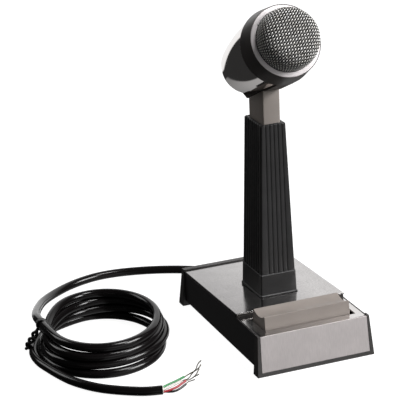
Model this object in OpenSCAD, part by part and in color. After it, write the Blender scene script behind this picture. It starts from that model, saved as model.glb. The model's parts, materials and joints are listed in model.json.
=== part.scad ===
// Desk microphone with a press-to-talk bar, a telescoping mast and a coiled cable.
// Millimetres. Origin: centre of the base's footprint, on the desk. Front faces -Y, +Z is up.

/* [Base] */
// Width of the end bezels where they meet the desk
base_w = 98; // [94:1:104]
// Depth of the base from front foot to rear foot
base_d = 164.4; // [162:0.2:170]
// Height of the end bezels
bezel_h = 32.2; // [31.6:0.1:33]
// Thickness of the side walls
wall_t = 2.2; // [1.8:0.1:2.6]
// Height of the top plate at its rear edge
plate_rear_z = 31.4; // [31:0.1:32]
// Height of the top plate at its front edge
plate_front_z = 34.9; // [34.5:0.1:35.5]

/* [Mast] */
// Distance from the column's centre to the origin, rearwards
column_y = 4.8; // [4:0.1:6]
// Half width of the column at its foot
column_foot_x = 15.2; // [15:0.1:17]
// Half depth of the column at its foot
column_foot_y = 18.7; // [18.4:0.1:20]
// Height of the column's top above the desk
column_top_z = 174.4; // [172:0.2:178]
// Half width of the sliding neck
neck_x = 7.2; // [6.8:0.1:7.2]
// Half depth of the sliding neck
neck_y = 13.7; // [13.2:0.1:13.7]

/* [Head] */
// Tilt of the head above the horizontal, degrees
head_tilt = 27; // [26:0.5:28]
// Height of the front ring's centre
head_z = 246.4; // [246:0.1:247]
// Outer radius of the front ring
ring_r = 27.6; // [27.2:0.1:28]
// Radius of the grille where it leaves the ring
grille_r = 23.6; // [23:0.1:23.8]
// How far the grille stands out of the ring
grille_h = 21; // [16:0.5:22]

/* [Talk bar] */
// Half length of the talk bar
bar_x = 35.6; // [34:0.2:36]
// Sideways travel of the bar's lock
lock_travel = 3; // [2:0.5:3]

/* [Cable] */
// Diameter of the cable's jacket
cable_d = 7; // [6:0.5:7]
// Radius of the cable coil at the middle of its turns
coil_r = 49.5; // [48:0.5:51]

/* [Hidden] */
$fn = 96;
eps = 0.01;
big = 400;
over = 1;
fit_gap = 0.2;
hole_gap = 0.1;

// Base
foot_x = base_w / 2;
foot_y = base_d / 2;
bezel_lean_x = 2.3;
bezel_lean_y = 4.1;
bezel_depth = 9.1;
bezel_top_x = foot_x - bezel_lean_x;
bezel_top_y = foot_y - bezel_lean_y;
bezel_back_y = foot_y - bezel_depth;
bezel_foot_z = 0.4;
side_inset = 2.9;
side_x = foot_x - side_inset;
side_low_z = 4.7;
side_step = 0.6;
plate_t = 1.5;
plate_inset = 2.3;
plate_rear_y = bezel_back_y - plate_inset;
plate_front_y = -34;
plate_slope = atan((plate_front_z - plate_rear_z) / (plate_rear_y - plate_front_y));
fold_y = 1.7;
fold_z = 1.3;
fold_cut_y = 1.3;
fold_cut_z = 0.4;
deck_z = 31.3;
deck_t = 1.2;
deck_margin = 1.3;
deck_x = side_x - deck_margin;
deck_front_y = bezel_top_y - 0.9;
ledge_z = deck_z - deck_t;
lip_low_z = deck_z + hole_gap;
bottom_t = 1.2;
bottom_rim = 1;
bottom_z = side_low_z;
floor_z = bottom_z + bottom_t;
screw_inset_x = 38;
screw_inset_y = 62;
foot_pad_r = 6;
foot_pad_h = side_low_z;
foot_pad_round = 0.6;
foot_pad_x = screw_inset_x - 10;
foot_pad_y = screw_inset_y + 1;
post_r = 4;
post_h = 12;
post_web = 2;
screw_r = 1.5;
screw_len = 12;
screw_head_r = 3;
screw_head_h = 1.2;
seat_gap = 0.05;
rear_recess_side = 3;
rear_recess_low = 2;
rear_recess_h = bezel_h - 8.6;
rear_panel_t = 1;

// Front panel, inset in the raked front bezel
rake = atan((foot_y - bezel_top_y) / bezel_h);
panel_t = 0.8;
panel_top_x = 44.6;
panel_low_x = 45.4;
panel_low_z = 3.6;
panel_top_z = bezel_h - 0.1;
panel_gap = 0.15;

// Column
column_top_x = 10.4;
column_top_y = 16.5;
column_wall = 1.4;
column_corner = 1.2;
collar_h = 19;
collar_wall_y = 2.4;
collar_step = 0.7;
flange_h = 2.2;
flange_out = 0.9;
flange_corner = 1.4;
foot_skirt = 3;
groove_w = 1.3;
groove_depth = 0.55;
grooves_x = 5;
grooves_y = 7;
groove_pitch_x = 4.45;
groove_pitch_y = 4.3;
mast_x = 8.9;
mast_y = 15.0;
mast_t = 0.8;
mast_gap = 0.3;
mast_low_z = 29.6;
bush_h = 4.3;
mast_top_z = column_top_z - bush_h - hole_gap;
bracket_t = 2;
bracket_x = 24;
bracket_y = 24;
column_screw_x = 11.4;
column_screw_y = 8;
column_screw_r = 1.25;
column_screw_len = 10;
column_screw_in = 7;
column_head_r = 2.2;
plate_at_column_z = plate_rear_z + (plate_rear_y - column_y) * tan(plate_slope);

// Neck
neck_wall = 1.0;
neck_low_z = 92;
neck_gap = 0.2;
neck_top_z = 201.4;
neck_top_deg = 25;
neck_blank_z = 210;
shoe_low_h = 10;
shoe_plug_h = 4;
shoe_gap = 0.15;
shoe_bore_x = 3;
shoe_bore_y = 6;
leaf_x = 2.4;
// Each row: half of the leaf spring's side, y behind the mast's face and z.
LEAF = [[3.9, 4.6], [3.3, 4.6], [1.5, 1.2], [1.1, 0], [1.5, -1.2], [3.3, -4.6], [3.9, -4.6],
    [2.1, -1.2], [1.7, 0], [2.1, 1.2]];

// Head. Along its axis, 0 is the front ring's face and the rear is negative.
head_y = -38.6;
band_len = 17.5;
band_rear_r = 29.9;
shell_front_r = 29.0;
shell_rear_r = 21.3;
shell_taper = 68.8;
shell_cap = 8.1;
shell_bulge = 1.5;
shell_steps = 6;
shell_wall = 1.6;
tongue_len = 4;
tongue_t = 1.2;
grille_wall = 0.6;
grille_power = 3.4;
foam_t = 2.6;
ring_t = 1.6;
ring_seat = 0.5;
ring_gap = 0.05;
ring_lip = 0.9;
ring_edge = 0.4;
ring_bore = 0.15;
band_lip = 0.3;
band_bore_r = 24.9;
band_edge = 0.4;
grille_foot = 2.6;
grille_flange_r = 24.8;
saddle_screw_r = 1.2;
saddle_screw_head_r = 2.4;
saddle_seat = 0.7;
saddle_screw_tip = 27.6;
// Places of the saddle's screws along the head's axis.
SADDLE_SCREWS = [-53, -70];
// Side outline of the saddle: distance back along the head's axis, height from the axis.
SADDLE = [[46.2, -28.2], [77.6, -28.2], [88, -19], [88, -12], [34.5, -12], [34.5, -25.2]];

// Voice cartridge. Heights are along the head's axis.
capsule_r = 18;
capsule_wall = 1.5;
capsule_rear = -28;
capsule_front = -4;
capsule_floor = 2;
capsule_floor_r = 9.1;
cap_t = 1.2;
cap_holes = 8;
cap_hole_r = 2;
cap_hole_at = 11;
cap_centre_r = 3;
cup_r = 12;
cup_rear = -24;
cup_h = 14;
cup_floor = 3;
cup_bore_r = 9.2;
magnet_r = 8;
magnet_h = 10;
shock_outer_r = 24.6;
shock_rear = -14;
shock_front = -9;
film_t = 0.3;
// Front face of the diaphragm: radius, height.
FILM = [[0, -4.9], [4, -5.3], [8, -6.6], [9, -7.4], [11, -6.4], [13, -6], [16.4, -6.6]];

// Talk bar
bar_front_y = -67.5;
bar_front_top_y = -66;
bar_rear_y = -42.4;
bar_rear_top_y = -45;
bar_front_z = 41.7;
bar_rear_z = 40.6;
bar_land = 1.6;
bar_low_z = 25.6;
bar_wall = 2;
bar_roof_z = 35.5;
bar_edge = 0.2;
bar_post_r = 3.6;
scoop_sag = 2.9;
slot_gap = 0.7;
slot_front_gap = 1.4;
slot_lock_gap = slot_gap + lock_travel + 0.2;
pivot_y = -14;
pivot_z = 21;
pivot_r = 1.5;
pivot_gap = 0.05;
lever_x = 32;
lever_t = 1.5;
lever_z = 24;
lever_front_y = -62;
lever_head_y = 18;
lever_neck_x = 18;
lever_ear_y = 12;
lever_ear_r = 3;
ear_x = 22;
ear_t = 1.5;
ear_y = 5;
ear_top = 5;
bar_screw_x = 26;
bar_screw_y = -54;
bar_screw_r = 1.25;
bar_screw_head_r = 3.2;
bar_screw_len = 8;
bar_slot = 2;
head_h = 1.2;
head_gap = 0.1;
plunger_x = 14;
plunger_y = -32;
plunger_r = 2;
plunger_gap = 0.06;
plunger_low = 4;
plunger_top_gap = 0.25;
switch_x = 5;
switch_y = 9;
switch_h = 11.5;
switch_bore_low = 2;
tags = 6;
tag_pitch = 2.6;
TAG = [3.5, 0.8, 3];
spring_y = -55;
spring_r = 4;
spring_wire_r = 0.45;
spring_turns = 6;
spring_low_gap = 0.1;
spring_top_gap = 0.15;

// Parts inside the base
ballast_x = 34;
ballast_y = 34;
ballast_d = 24;
ballast_h = 18;
ballast_slot = 5;
core_x = 12;
core_y = 6;
core_w = 22;
core_h = 16;
window_w = 5;
window_h = 8;
window_side = 3;
window_low = 4;
bobbin_y = 2;
bobbin_d = 30;
coil_fit = 0.3;
strip_x = -30;
strip_y = 8;
STRIP = [32, 10, 6];
strip_screws = 5;
strip_pitch = 6;
strip_first = 4;
strip_screw_r = 1;
strip_head_r = 2;

// Cable
cable_r = cable_d / 2;
coil_x = -135;
coil_y = 26;
coil_half_w = 10;
coil_h = 27.4;
coil_round = 3;
coil_slope_z = 20;
coil_slope_w = 8;
tie_deg = 163;
tie_span = 7;
tie_out = 1.2;
cable_exit_x = 10;
cable_exit_z = 14;
cable_hole_r = cable_r + 1.6;
relief_len = 24;
relief_in = 6;
relief_neck_r = cable_r + 1.5;
relief_flange_r = cable_r + 3;
relief_flange_y = 4.1;
relief_cone_y = 9;
relief_tip_r = cable_r + 0.8;
clamp_x = 6;
clamp_y = 59;
clamp_d = 4;
clamp_over = 5;
clamp_bite = 0.1;
rear_panel_y = bezel_back_y + 3;
// Each row: route point of the cable, x y z.
LEAD = [
    [10, 56, 14], [10, 70, 14], [10, 84, 14], [10, 96, 13.4],
    [10, 104, 11.5], [9.5, 110, 9], [7, 117, 6.5], [2, 124, 4.6], [-6, 131, 3.7], [-16, 138, 3.5],
    [-30, 146, 3.5], [-46, 153, 3.5], [-62, 158, 3.5], [-78, 161, 3.5], [-94, 161, 3.5],
    [-110, 157, 3.5], [-125, 150, 3.6], [-138, 140, 4.4], [-149, 128, 6.2], [-158, 114, 9],
    [-165, 99, 12.4], [-171, 84, 16], [-176, 69, 19.5], [-179, 55, 22.4]
];
TAIL = [
    [-190, 34, 3.5], [-191, 16, 3.5], [-188, 1, 3.5], [-184, -14, 3.5], [-179, -28, 3.5],
    [-172, -40, 3.5], [-164, -50, 3.5], [-155, -58, 3.5], [-145, -65, 3.5], [-135, -70.6, 3.5],
    [-123, -74, 3.5]
];
wire_r = 0.82;
// Each row: route point of one conductor, x y z.
WIRE_GREEN = [
    [-123, -73.4, 5.1], [-120.3, -72.3, 5.3], [-117.3, -71.4, 5.6], [-113.8, -70.4, 5.9],
    [-110.2, -69.4, 6.2], [-102.6, -66.6, 6.8]
];
WIRE_WHITE = [
    [-123.4, -74.9, 4.1], [-121, -74.4, 4.2], [-118, -73.8, 4.4], [-112.3, -72, 4.9],
    [-105.8, -69.8, 5.6]
];
WIRE_RED = [
    [-123.4, -75, 2.2], [-121.2, -75.3, 2.4], [-117.8, -75.4, 2.8], [-111.9, -74.2, 3.4],
    [-107, -72, 4.2], [-102.9, -70.4, 5.2]
];
WIRE_BLACK = [
    [-122.8, -73.2, 2.4], [-120.5, -73.6, 1.4], [-118, -74.2, 1], [-114.3, -75, 0.95],
    [-109.5, -74.2, 1.5], [-103.2, -71.2, 2.8]
];

// ---------- helpers ----------

// A side outline in (y, z), extruded across the width.
module across(half_w) {
    rotate([90, 0, 90])
        translate([0, 0, -half_w])
            linear_extrude(2 * half_w)
                children();
}

// Children stand on the sloping top plate at the column's place.
module on_plate() {
    translate([0, column_y, plate_at_column_z])
        rotate([-plate_slope, 0, 0])
            children();
}

// Children are drawn with +Z along the head's axis, forwards.
module on_head() {
    translate([0, head_y, head_z])
        rotate([90 - head_tilt, 0, 0])
            children();
}

// Four copies, mirrored left to right and front to rear.
module four(x, y) {
    for (sx = [-1, 1])
        for (sy = [-1, 1])
            translate([sx * x, sy * y, 0])
                children();
}

module rect(x, y, r = 0.8) {
    polygon([
        [-x + r, -y], [x - r, -y], [x, -y + r], [x, y - r],
        [x - r, y], [-x + r, y], [-x, y - r], [-x, -y + r]
    ]);
}

module box_tube(x, y, wall, low, high) {
    translate([0, 0, low])
        linear_extrude(high - low)
            difference() {
                rect(x, y);
                rect(x - wall, y - wall);
            }
}

// A ring round the head's axis, from z0 to z1.
module hoop(inner, outer, z0, z1) {
    rotate_extrude()
        polygon([[inner, z0], [outer, z0], [outer, z1], [inner, z1]]);
}

function unit(v) = v / norm(v);
function clip(i, n) = min(max(i, 0), n - 1);
function heading(path, i) =
    unit(path[clip(i + 1, len(path))] - path[clip(i - 1, len(path))]);
function sideways(t) = unit(cross(t, [0, 0, 1]));

// One tube along a path, with a closed end at each side.
module sweep(path, r, sides = 10) {
    rings = len(path);
    points = [
        for (i = [0 : rings - 1])
            let (t = heading(path, i), s = sideways(t), u = cross(s, t))
                for (k = [0 : sides - 1])
                    path[i] + r * (cos(360 * k / sides) * s + sin(360 * k / sides) * u)
    ];
    walls = [
        for (i = [0 : rings - 2])
            for (k = [0 : sides - 1])
                [
                    i * sides + k, i * sides + (k + 1) % sides,
                    (i + 1) * sides + (k + 1) % sides, (i + 1) * sides + k
                ]
    ];
    first_end = [for (k = [0 : sides - 1]) sides - 1 - k];
    last_end = [for (k = [0 : sides - 1]) (rings - 1) * sides + k];
    polyhedron(points, concat([first_end], walls, [last_end]), convexity = 6);
}

// ---------- base ----------

// Outline of the side walls, with the step down to the talk bar's deck.
module side_outline() {
    polygon([
        [-bezel_back_y, side_low_z], [bezel_back_y, side_low_z],
        [bezel_back_y, plate_rear_z - side_step], [plate_rear_y, plate_rear_z - plate_t],
        [plate_front_y, plate_front_z - plate_t], [plate_front_y, deck_z],
        [-bezel_back_y, deck_z]
    ]);
}

module base_shell() color("#1c1a1b") {
    in_x = side_x - wall_t;
    in_y = bezel_back_y - wall_t;
    rim_x = side_x - bottom_rim;
    rim_y = bezel_back_y - bottom_rim;
    difference() {
        across(side_x) side_outline();
        translate([-in_x, -in_y, side_low_z - over])
            cube([2 * in_x, 2 * in_y, big]);
        // Seat for the bottom plate
        translate([-rim_x, -rim_y, bottom_z - over])
            cube([2 * rim_x, 2 * rim_y, bottom_t + over]);
        // Seat for the deck
        translate([-deck_x - fit_gap, -bezel_back_y - over, ledge_z])
            cube([
                2 * (deck_x + fit_gap), bezel_back_y + over + plate_front_y + side_step, big
            ]);
        // Way in for the cable
        translate([cable_exit_x, in_y - over, cable_exit_z])
            rotate([-90, 0, 0])
                cylinder(h = wall_t + 2 * over, r = cable_hole_r);
    }
    // Screw posts, joined to the side walls
    for (sx = [-1, 1])
        for (y = [-screw_inset_y, screw_inset_y])
            difference() {
                union() {
                    translate([sx * screw_inset_x, y, floor_z])
                        cylinder(h = post_h, r = post_r);
                    translate([sx > 0 ? screw_inset_x : -in_x - eps, y - post_web / 2, floor_z])
                        cube([in_x - screw_inset_x + eps, post_web, post_h]);
                }
                translate([sx * screw_inset_x, y, floor_z - over])
                    cylinder(h = post_h + 2 * over, r = screw_r + seat_gap);
            }
}

module bottom_plate() color("#55565a") {
    x = side_x - bottom_rim - hole_gap;
    y = bezel_back_y - bottom_rim - hole_gap;
    difference() {
        translate([-x, -y, bottom_z])
            cube([2 * x, 2 * y, bottom_t - seat_gap]);
        four(screw_inset_x, screw_inset_y)
            translate([0, 0, bottom_z - over])
                cylinder(h = bottom_t + 2 * over, r = screw_r + fit_gap);
    }
}

module bottom_screws() color("#b8b8ba")
    four(screw_inset_x, screw_inset_y)
        translate([0, 0, bottom_z - screw_head_h - seat_gap]) {
            cylinder(h = screw_head_h, r = screw_head_r);
            cylinder(h = screw_len, r = screw_r);
        }

module rubber_feet() color("#121212")
    four(foot_pad_x, foot_pad_y)
        rotate_extrude()
            polygon([
                [0, 0], [foot_pad_r - foot_pad_round, 0], [foot_pad_r, foot_pad_round],
                [foot_pad_r, foot_pad_h - seat_gap], [0, foot_pad_h - seat_gap]
            ]);

// The mast's own hole through the sheets under it.
module mast_hole() {
    translate([-mast_x - mast_gap, -mast_y - mast_gap, -big / 2])
        cube([2 * (mast_x + mast_gap), 2 * (mast_y + mast_gap), big]);
}

// A bent sheet: the sloping top and its short front lip. The mast passes through it.
module top_plate() color("#b3aeae")
    difference() {
        across(side_x)
            polygon([
                [plate_rear_y, plate_rear_z - plate_t], [plate_rear_y, plate_rear_z],
                [plate_front_y, plate_front_z],
                [plate_front_y - fold_cut_y, plate_front_z - fold_cut_z],
                [plate_front_y - fold_y, plate_front_z - fold_z],
                [plate_front_y - fold_y, lip_low_z],
                [plate_front_y - fold_y + plate_t, lip_low_z],
                [plate_front_y - fold_y + plate_t, plate_front_z - plate_t],
                [plate_front_y, plate_front_z - plate_t]
            ]);
        on_plate() {
            mast_hole();
            four(column_screw_x, column_screw_y)
                cylinder(h = big, r = column_screw_r + hole_gap, center = true);
        }
    }

module switch_deck() color("#8d8788")
    difference() {
        translate([-deck_x, -deck_front_y, ledge_z + seat_gap])
            cube([2 * deck_x, deck_front_y + plate_front_y, deck_t - seat_gap]);
        translate([-bar_x - slot_gap, bar_front_y - slot_front_gap, ledge_z - over])
            cube([
                2 * bar_x + slot_gap + slot_lock_gap,
                bar_rear_y - bar_front_y + slot_gap + slot_front_gap, deck_t + 2 * over
            ]);
    }

// The solid of an end bezel: raked face, sides that lean in, foot on the desk.
module bezel_block() {
    intersection() {
        across(big)
            polygon([
                [-foot_y, bezel_foot_z], [-bezel_top_y, bezel_h],
                [-bezel_back_y - seat_gap, bezel_h], [-bezel_back_y - seat_gap, bezel_foot_z]
            ]);
        rotate([90, 0, 0])
            linear_extrude(big, center = true)
                polygon([
                    [-foot_x, bezel_foot_z], [foot_x, bezel_foot_z],
                    [bezel_top_x, bezel_h], [-bezel_top_x, bezel_h]
                ]);
    }
}

// The raked panel's own solid, grown all round by grow.
module panel_block(grow, deep) {
    translate([0, -foot_y, 0])
        rotate([-rake, 0, 0])
            translate([0, deep, 0])
                rotate([90, 0, 0])
                    linear_extrude(deep + grow)
                        polygon([
                            [-panel_low_x - grow, panel_low_z - grow],
                            [panel_low_x + grow, panel_low_z - grow],
                            [panel_top_x + grow, panel_top_z + 4 * grow],
                            [-panel_top_x - grow, panel_top_z + 4 * grow]
                        ]);
}

module front_bezel() color("#3b3a39")
    difference() {
        bezel_block();
        panel_block(panel_gap, panel_t + hole_gap);
        // The deck runs over the bezel's middle to the panel
        translate([-deck_x - fit_gap, -deck_front_y - fit_gap, ledge_z])
            cube([2 * (deck_x + fit_gap), deck_front_y, big]);
    }

module front_panel() color("#b9b0ae")
    panel_block(0, panel_t);

module rear_bezel() color("#3b3a39") {
    x = panel_top_x - rear_recess_side;
    difference() {
        mirror([0, 1, 0]) bezel_block();
        translate([-x, rear_panel_y, panel_low_z + rear_recess_low])
            cube([2 * x, big, rear_recess_h]);
        translate([cable_exit_x, bezel_back_y - over, cable_exit_z])
            rotate([-90, 0, 0])
                cylinder(h = bezel_depth + 2 * over, r = cable_hole_r);
    }
}

module rear_panel() color("#2a2929") {
    x = panel_top_x - rear_recess_side - fit_gap;
    difference() {
        translate([-x, rear_panel_y, panel_low_z + rear_recess_low + fit_gap])
            cube([2 * x, rear_panel_t, rear_recess_h - 2 * fit_gap]);
        translate([cable_exit_x, rear_panel_y - over, cable_exit_z])
            rotate([-90, 0, 0])
                cylinder(h = rear_panel_t + 2 * over, r = cable_hole_r);
    }
}

// Iron slab with a channel for the cable.
module ballast_weight() color("#4a4a4c")
    difference() {
        translate([-ballast_x, ballast_y, floor_z])
            cube([2 * ballast_x, ballast_d, ballast_h]);
        translate([
            cable_exit_x - ballast_slot, ballast_y - over, cable_exit_z - ballast_slot
        ])
            cube([2 * ballast_slot, ballast_d + 2 * over, big]);
    }

// ---------- talk bar and switch ----------

// The pivot's bore across the width.
module pivot_bore() {
    translate([-big / 2, pivot_y, pivot_z])
        rotate([0, 90, 0])
            cylinder(h = big, r = pivot_r + pivot_gap);
}

module pivot_bracket() color("#8f9094")
    difference() {
        union() {
            translate([-ear_x - ear_t, pivot_y - ear_y, floor_z])
                cube([2 * (ear_x + ear_t), 2 * ear_y, ear_t]);
            for (sx = [-1, 1])
                translate([sx > 0 ? ear_x : -ear_x - ear_t, pivot_y - ear_y, floor_z])
                    cube([ear_t, 2 * ear_y, pivot_z - floor_z + ear_top]);
        }
        pivot_bore();
    }

module hinge_pin() color("#c9c9cc")
    translate([-ear_x - 2 * ear_t, pivot_y, pivot_z])
        rotate([0, 90, 0])
            cylinder(h = 2 * (ear_x + 2 * ear_t), r = pivot_r);

// Lever: flat plate under the bar with two hinge ears at the rear.
module ptt_lever() color("#9a9b9f")
    difference() {
        union() {
            translate([-lever_x, lever_front_y, lever_z - lever_t])
                cube([2 * lever_x, lever_head_y, lever_t]);
            translate([-lever_neck_x, lever_front_y + lever_head_y - eps, lever_z - lever_t])
                cube([
                    2 * lever_neck_x,
                    pivot_y - lever_front_y - lever_head_y - lever_ear_r + eps, lever_t
                ]);
            for (sx = [-1, 1])
                translate([
                    sx > 0 ? lever_neck_x - lever_t : -lever_neck_x,
                    pivot_y - lever_ear_y, pivot_z - lever_ear_r
                ])
                    cube([lever_t, lever_ear_y + lever_ear_r, lever_z - pivot_z + lever_ear_r]);
        }
        pivot_bore();
        // Elongated holes that let the bar slide sideways
        for (sx = [-1, 1])
            translate([
                sx * bar_screw_x - bar_slot, bar_screw_y - bar_slot, lever_z - lever_t - over
            ])
                cube([2 * bar_slot + lock_travel, 2 * bar_slot, lever_t + 2 * over]);
    }

function scoop_radius(chord, sag) = (chord * chord / 4 + sag * sag) / (2 * sag);

module ptt_bar() color("#96897f") {
    chord_y = bar_rear_top_y - bar_front_top_y - bar_land;
    mid_y = (bar_rear_top_y + bar_front_top_y + bar_land) / 2;
    mid_z = (bar_rear_z + bar_front_z) / 2;
    r = scoop_radius(chord_y, scoop_sag);
    difference() {
        across(bar_x)
            polygon([
                [bar_front_y, bar_low_z], [bar_rear_y, bar_low_z],
                [bar_rear_top_y, bar_rear_z], [bar_front_top_y + bar_land, bar_front_z],
                [bar_front_top_y, bar_front_z - bar_edge], [bar_front_y, deck_z]
            ]);
        // Finger scoop
        translate([-big / 2, mid_y, mid_z + r - scoop_sag])
            rotate([0, 90, 0])
                cylinder(h = big, r = r, $fn = 180);
        // Hollow underside
        translate([-bar_x + bar_wall, bar_front_y + bar_wall, bar_low_z - over])
            cube([
                2 * (bar_x - bar_wall), bar_rear_y - bar_front_y - 2 * bar_wall,
                bar_roof_z - bar_low_z + over
            ]);
    }
    // Posts that take the bar's screws
    for (sx = [-1, 1])
        translate([sx * bar_screw_x, bar_screw_y, lever_z])
            difference() {
                translate([0, 0, head_gap])
                    cylinder(h = bar_roof_z - lever_z + over / 2, r = bar_post_r);
                translate([0, 0, -over])
                    cylinder(h = bar_screw_len, r = bar_screw_r + seat_gap);
            }
}

module bar_screws() color("#c9c9cc")
    for (sx = [-1, 1])
        translate([sx * bar_screw_x, bar_screw_y, lever_z - lever_t - head_h - head_gap]) {
            cylinder(h = head_h, r = bar_screw_head_r);
            cylinder(h = bar_screw_len, r = bar_screw_r);
        }

module return_spring() color("#d0d0d3") {
    low = floor_z + spring_wire_r + spring_low_gap;
    high = lever_z - lever_t - spring_wire_r - spring_top_gap;
    turn_steps = 12;
    steps = spring_turns * turn_steps;
    step_deg = 360 / turn_steps;
    translate([0, spring_y, 0])
        sweep([
            for (i = [0 : steps])
                [
                    spring_r * cos(step_deg * i), spring_r * sin(step_deg * i),
                    low + (high - low) * i / steps
                ]
        ], spring_wire_r, 6);
}

module switch_body() color("#20242c")
    translate([plunger_x, plunger_y, floor_z])
        difference() {
            translate([-switch_x, -switch_y, 0])
                cube([2 * switch_x, 2 * switch_y, switch_h]);
            translate([0, 0, switch_bore_low])
                cylinder(h = switch_h, r = plunger_r + plunger_gap);
        }

module switch_plunger() color("#d8d2c4")
    translate([plunger_x, plunger_y, floor_z + plunger_low])
        cylinder(
            h = lever_z - lever_t - plunger_top_gap - floor_z - plunger_low, r = plunger_r
        );

module switch_terminals() color("#c8a24a")
    for (i = [0 : tags - 1])
        translate([
            plunger_x + switch_x, plunger_y + (i - tags / 2) * tag_pitch + 1, floor_z + switch_bore_low
        ])
            cube(TAG);

// ---------- electrical parts in the base ----------

module transformer_core() color("#6a6158")
    difference() {
        translate([core_x, core_y, floor_z])
            cube([core_w, core_w, core_h]);
        for (x = [core_x + window_side, core_x + core_w - window_side - window_w])
            translate([x, core_y - over, floor_z + window_low])
                cube([window_w, core_w + 2 * over, window_h]);
    }

module transformer_bobbin() color("#b5763a") {
    leg_w = core_w - 2 * (window_side + window_w);
    wide = leg_w + 2 * window_w - 2 * coil_fit;
    difference() {
        translate([core_x + window_side + coil_fit, bobbin_y, floor_z + window_low + coil_fit])
            cube([wide, bobbin_d, window_h - 2 * coil_fit]);
        translate([
            core_x + window_side + window_w - coil_fit, core_y - coil_fit, floor_z + window_low - over
        ])
            cube([leg_w + 2 * coil_fit, core_w + 2 * coil_fit, window_h + 2 * over]);
    }
}

// Places of the strip's screws.
module strip_places() {
    for (i = [0 : strip_screws - 1])
        translate([strip_x + strip_first + strip_pitch * i, strip_y + STRIP[1] / 2, floor_z])
            children();
}

module terminal_strip() color("#a38a5c")
    difference() {
        translate([strip_x, strip_y, floor_z])
            cube(STRIP);
        strip_places()
            translate([0, 0, over])
                cylinder(h = STRIP[2], r = strip_screw_r + seat_gap);
    }

module terminal_screws() color("#d9c27a")
    strip_places() {
        translate([0, 0, 2 * over])
            cylinder(h = STRIP[2] - 2 * over + head_gap, r = strip_screw_r);
        translate([0, 0, STRIP[2] + seat_gap])
            cylinder(h = head_h, r = strip_head_r);
    }

// ---------- mast ----------

module column_bracket() color("#7d7e82")
    on_plate()
        difference() {
            translate([-bracket_x, -bracket_y, -plate_t - seat_gap - bracket_t])
                cube([2 * bracket_x, 2 * bracket_y, bracket_t]);
            mast_hole();
            four(column_screw_x, column_screw_y)
                cylinder(h = big, r = column_screw_r + hole_gap, center = true);
        }

module column_screws() color("#c9c9cc")
    on_plate()
        four(column_screw_x, column_screw_y)
            translate([0, 0, -plate_t - bracket_t - head_h - head_gap]) {
                cylinder(h = head_h, r = column_head_r);
                cylinder(h = column_screw_len, r = column_screw_r);
            }

module guide_tube() color("#a5a6aa")
    translate([0, column_y, 0])
        box_tube(mast_x, mast_y, mast_t, mast_low_z, mast_top_z);

// Outline of the fluted sleeve at its foot: grooves cut into each face.
module fluted_outline(x, y) {
    difference() {
        rect(x, y, column_corner);
        for (i = [0 : grooves_x - 1])
            for (s = [-1, 1])
                translate([(i - (grooves_x - 1) / 2) * groove_pitch_x, s * y])
                    square([groove_w, 2 * groove_depth], center = true);
        for (i = [0 : grooves_y - 1])
            for (s = [-1, 1])
                translate([s * x, (i - (grooves_y - 1) / 2) * groove_pitch_y])
                    square([2 * groove_depth, groove_w], center = true);
    }
}

module column_shell() color("#262728") {
    span = column_top_z - plate_at_column_z;
    collar_top = plate_at_column_z + collar_h;
    share = collar_h / span;
    waist_x = column_foot_x + (column_top_x - column_foot_x) * share;
    waist_y = column_foot_y + (column_top_y - column_foot_y) * share;
    bore_x = column_top_x - column_wall;
    translate([0, column_y, 0])
        difference() {
            union() {
                translate([0, 0, collar_top])
                    linear_extrude(
                        column_top_z - collar_top,
                        scale = [column_top_x / waist_x, column_top_y / waist_y],
                        slices = 1
                    )
                        fluted_outline(waist_x, waist_y);
                translate([0, 0, plate_at_column_z - foot_skirt])
                    linear_extrude(
                        collar_h + foot_skirt,
                        scale = [waist_x / column_foot_x, waist_y / column_foot_y],
                        slices = 1
                    )
                        rect(
                            column_foot_x + collar_step / 2, column_foot_y + collar_step / 2,
                            column_corner
                        );
                translate([0, 0, plate_at_column_z - foot_skirt])
                    linear_extrude(foot_skirt + flange_h)
                        rect(
                            column_foot_x + flange_out, column_foot_y + flange_out, flange_corner
                        );
            }
            // Inside of the sleeve
            translate([0, 0, plate_at_column_z - foot_skirt - over])
                linear_extrude(collar_h + foot_skirt + over)
                    rect(bore_x + hole_gap, column_foot_y - collar_wall_y);
            translate([0, 0, collar_top - over])
                linear_extrude(span)
                    rect(bore_x, column_top_y - column_wall);
            // Foot trimmed to the sloping plate
            translate([0, 0, plate_at_column_z])
                rotate([-plate_slope, 0, 0]) {
                    translate([-big / 2, -big / 2, -big + seat_gap])
                        cube(big);
                    four(column_screw_x, column_screw_y)
                        translate([0, 0, -foot_skirt - over])
                            cylinder(
                                h = column_screw_in + foot_skirt + over,
                                r = column_screw_r + seat_gap
                            );
                }
        }
}

module column_bush() color("#161616")
    translate([0, column_y, column_top_z - bush_h])
        linear_extrude(bush_h)
            difference() {
                rect(
                    column_top_x - column_wall - seat_gap, column_top_y - column_wall - seat_gap
                );
                rect(neck_x + neck_gap, neck_y + neck_gap);
            }

// ---------- neck ----------

// Children stand on the neck's slanted top.
module on_neck_top() {
    translate([0, column_y - neck_y, neck_top_z])
        rotate([-neck_top_deg, 0, 0])
            children();
}

module neck_tube() color("#91877f")
    difference() {
        translate([0, column_y, 0])
            box_tube(neck_x, neck_y, neck_wall, neck_low_z, neck_blank_z);
        on_neck_top()
            translate([-big / 2, -big / 2, 0])
                cube(big);
    }

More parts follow.
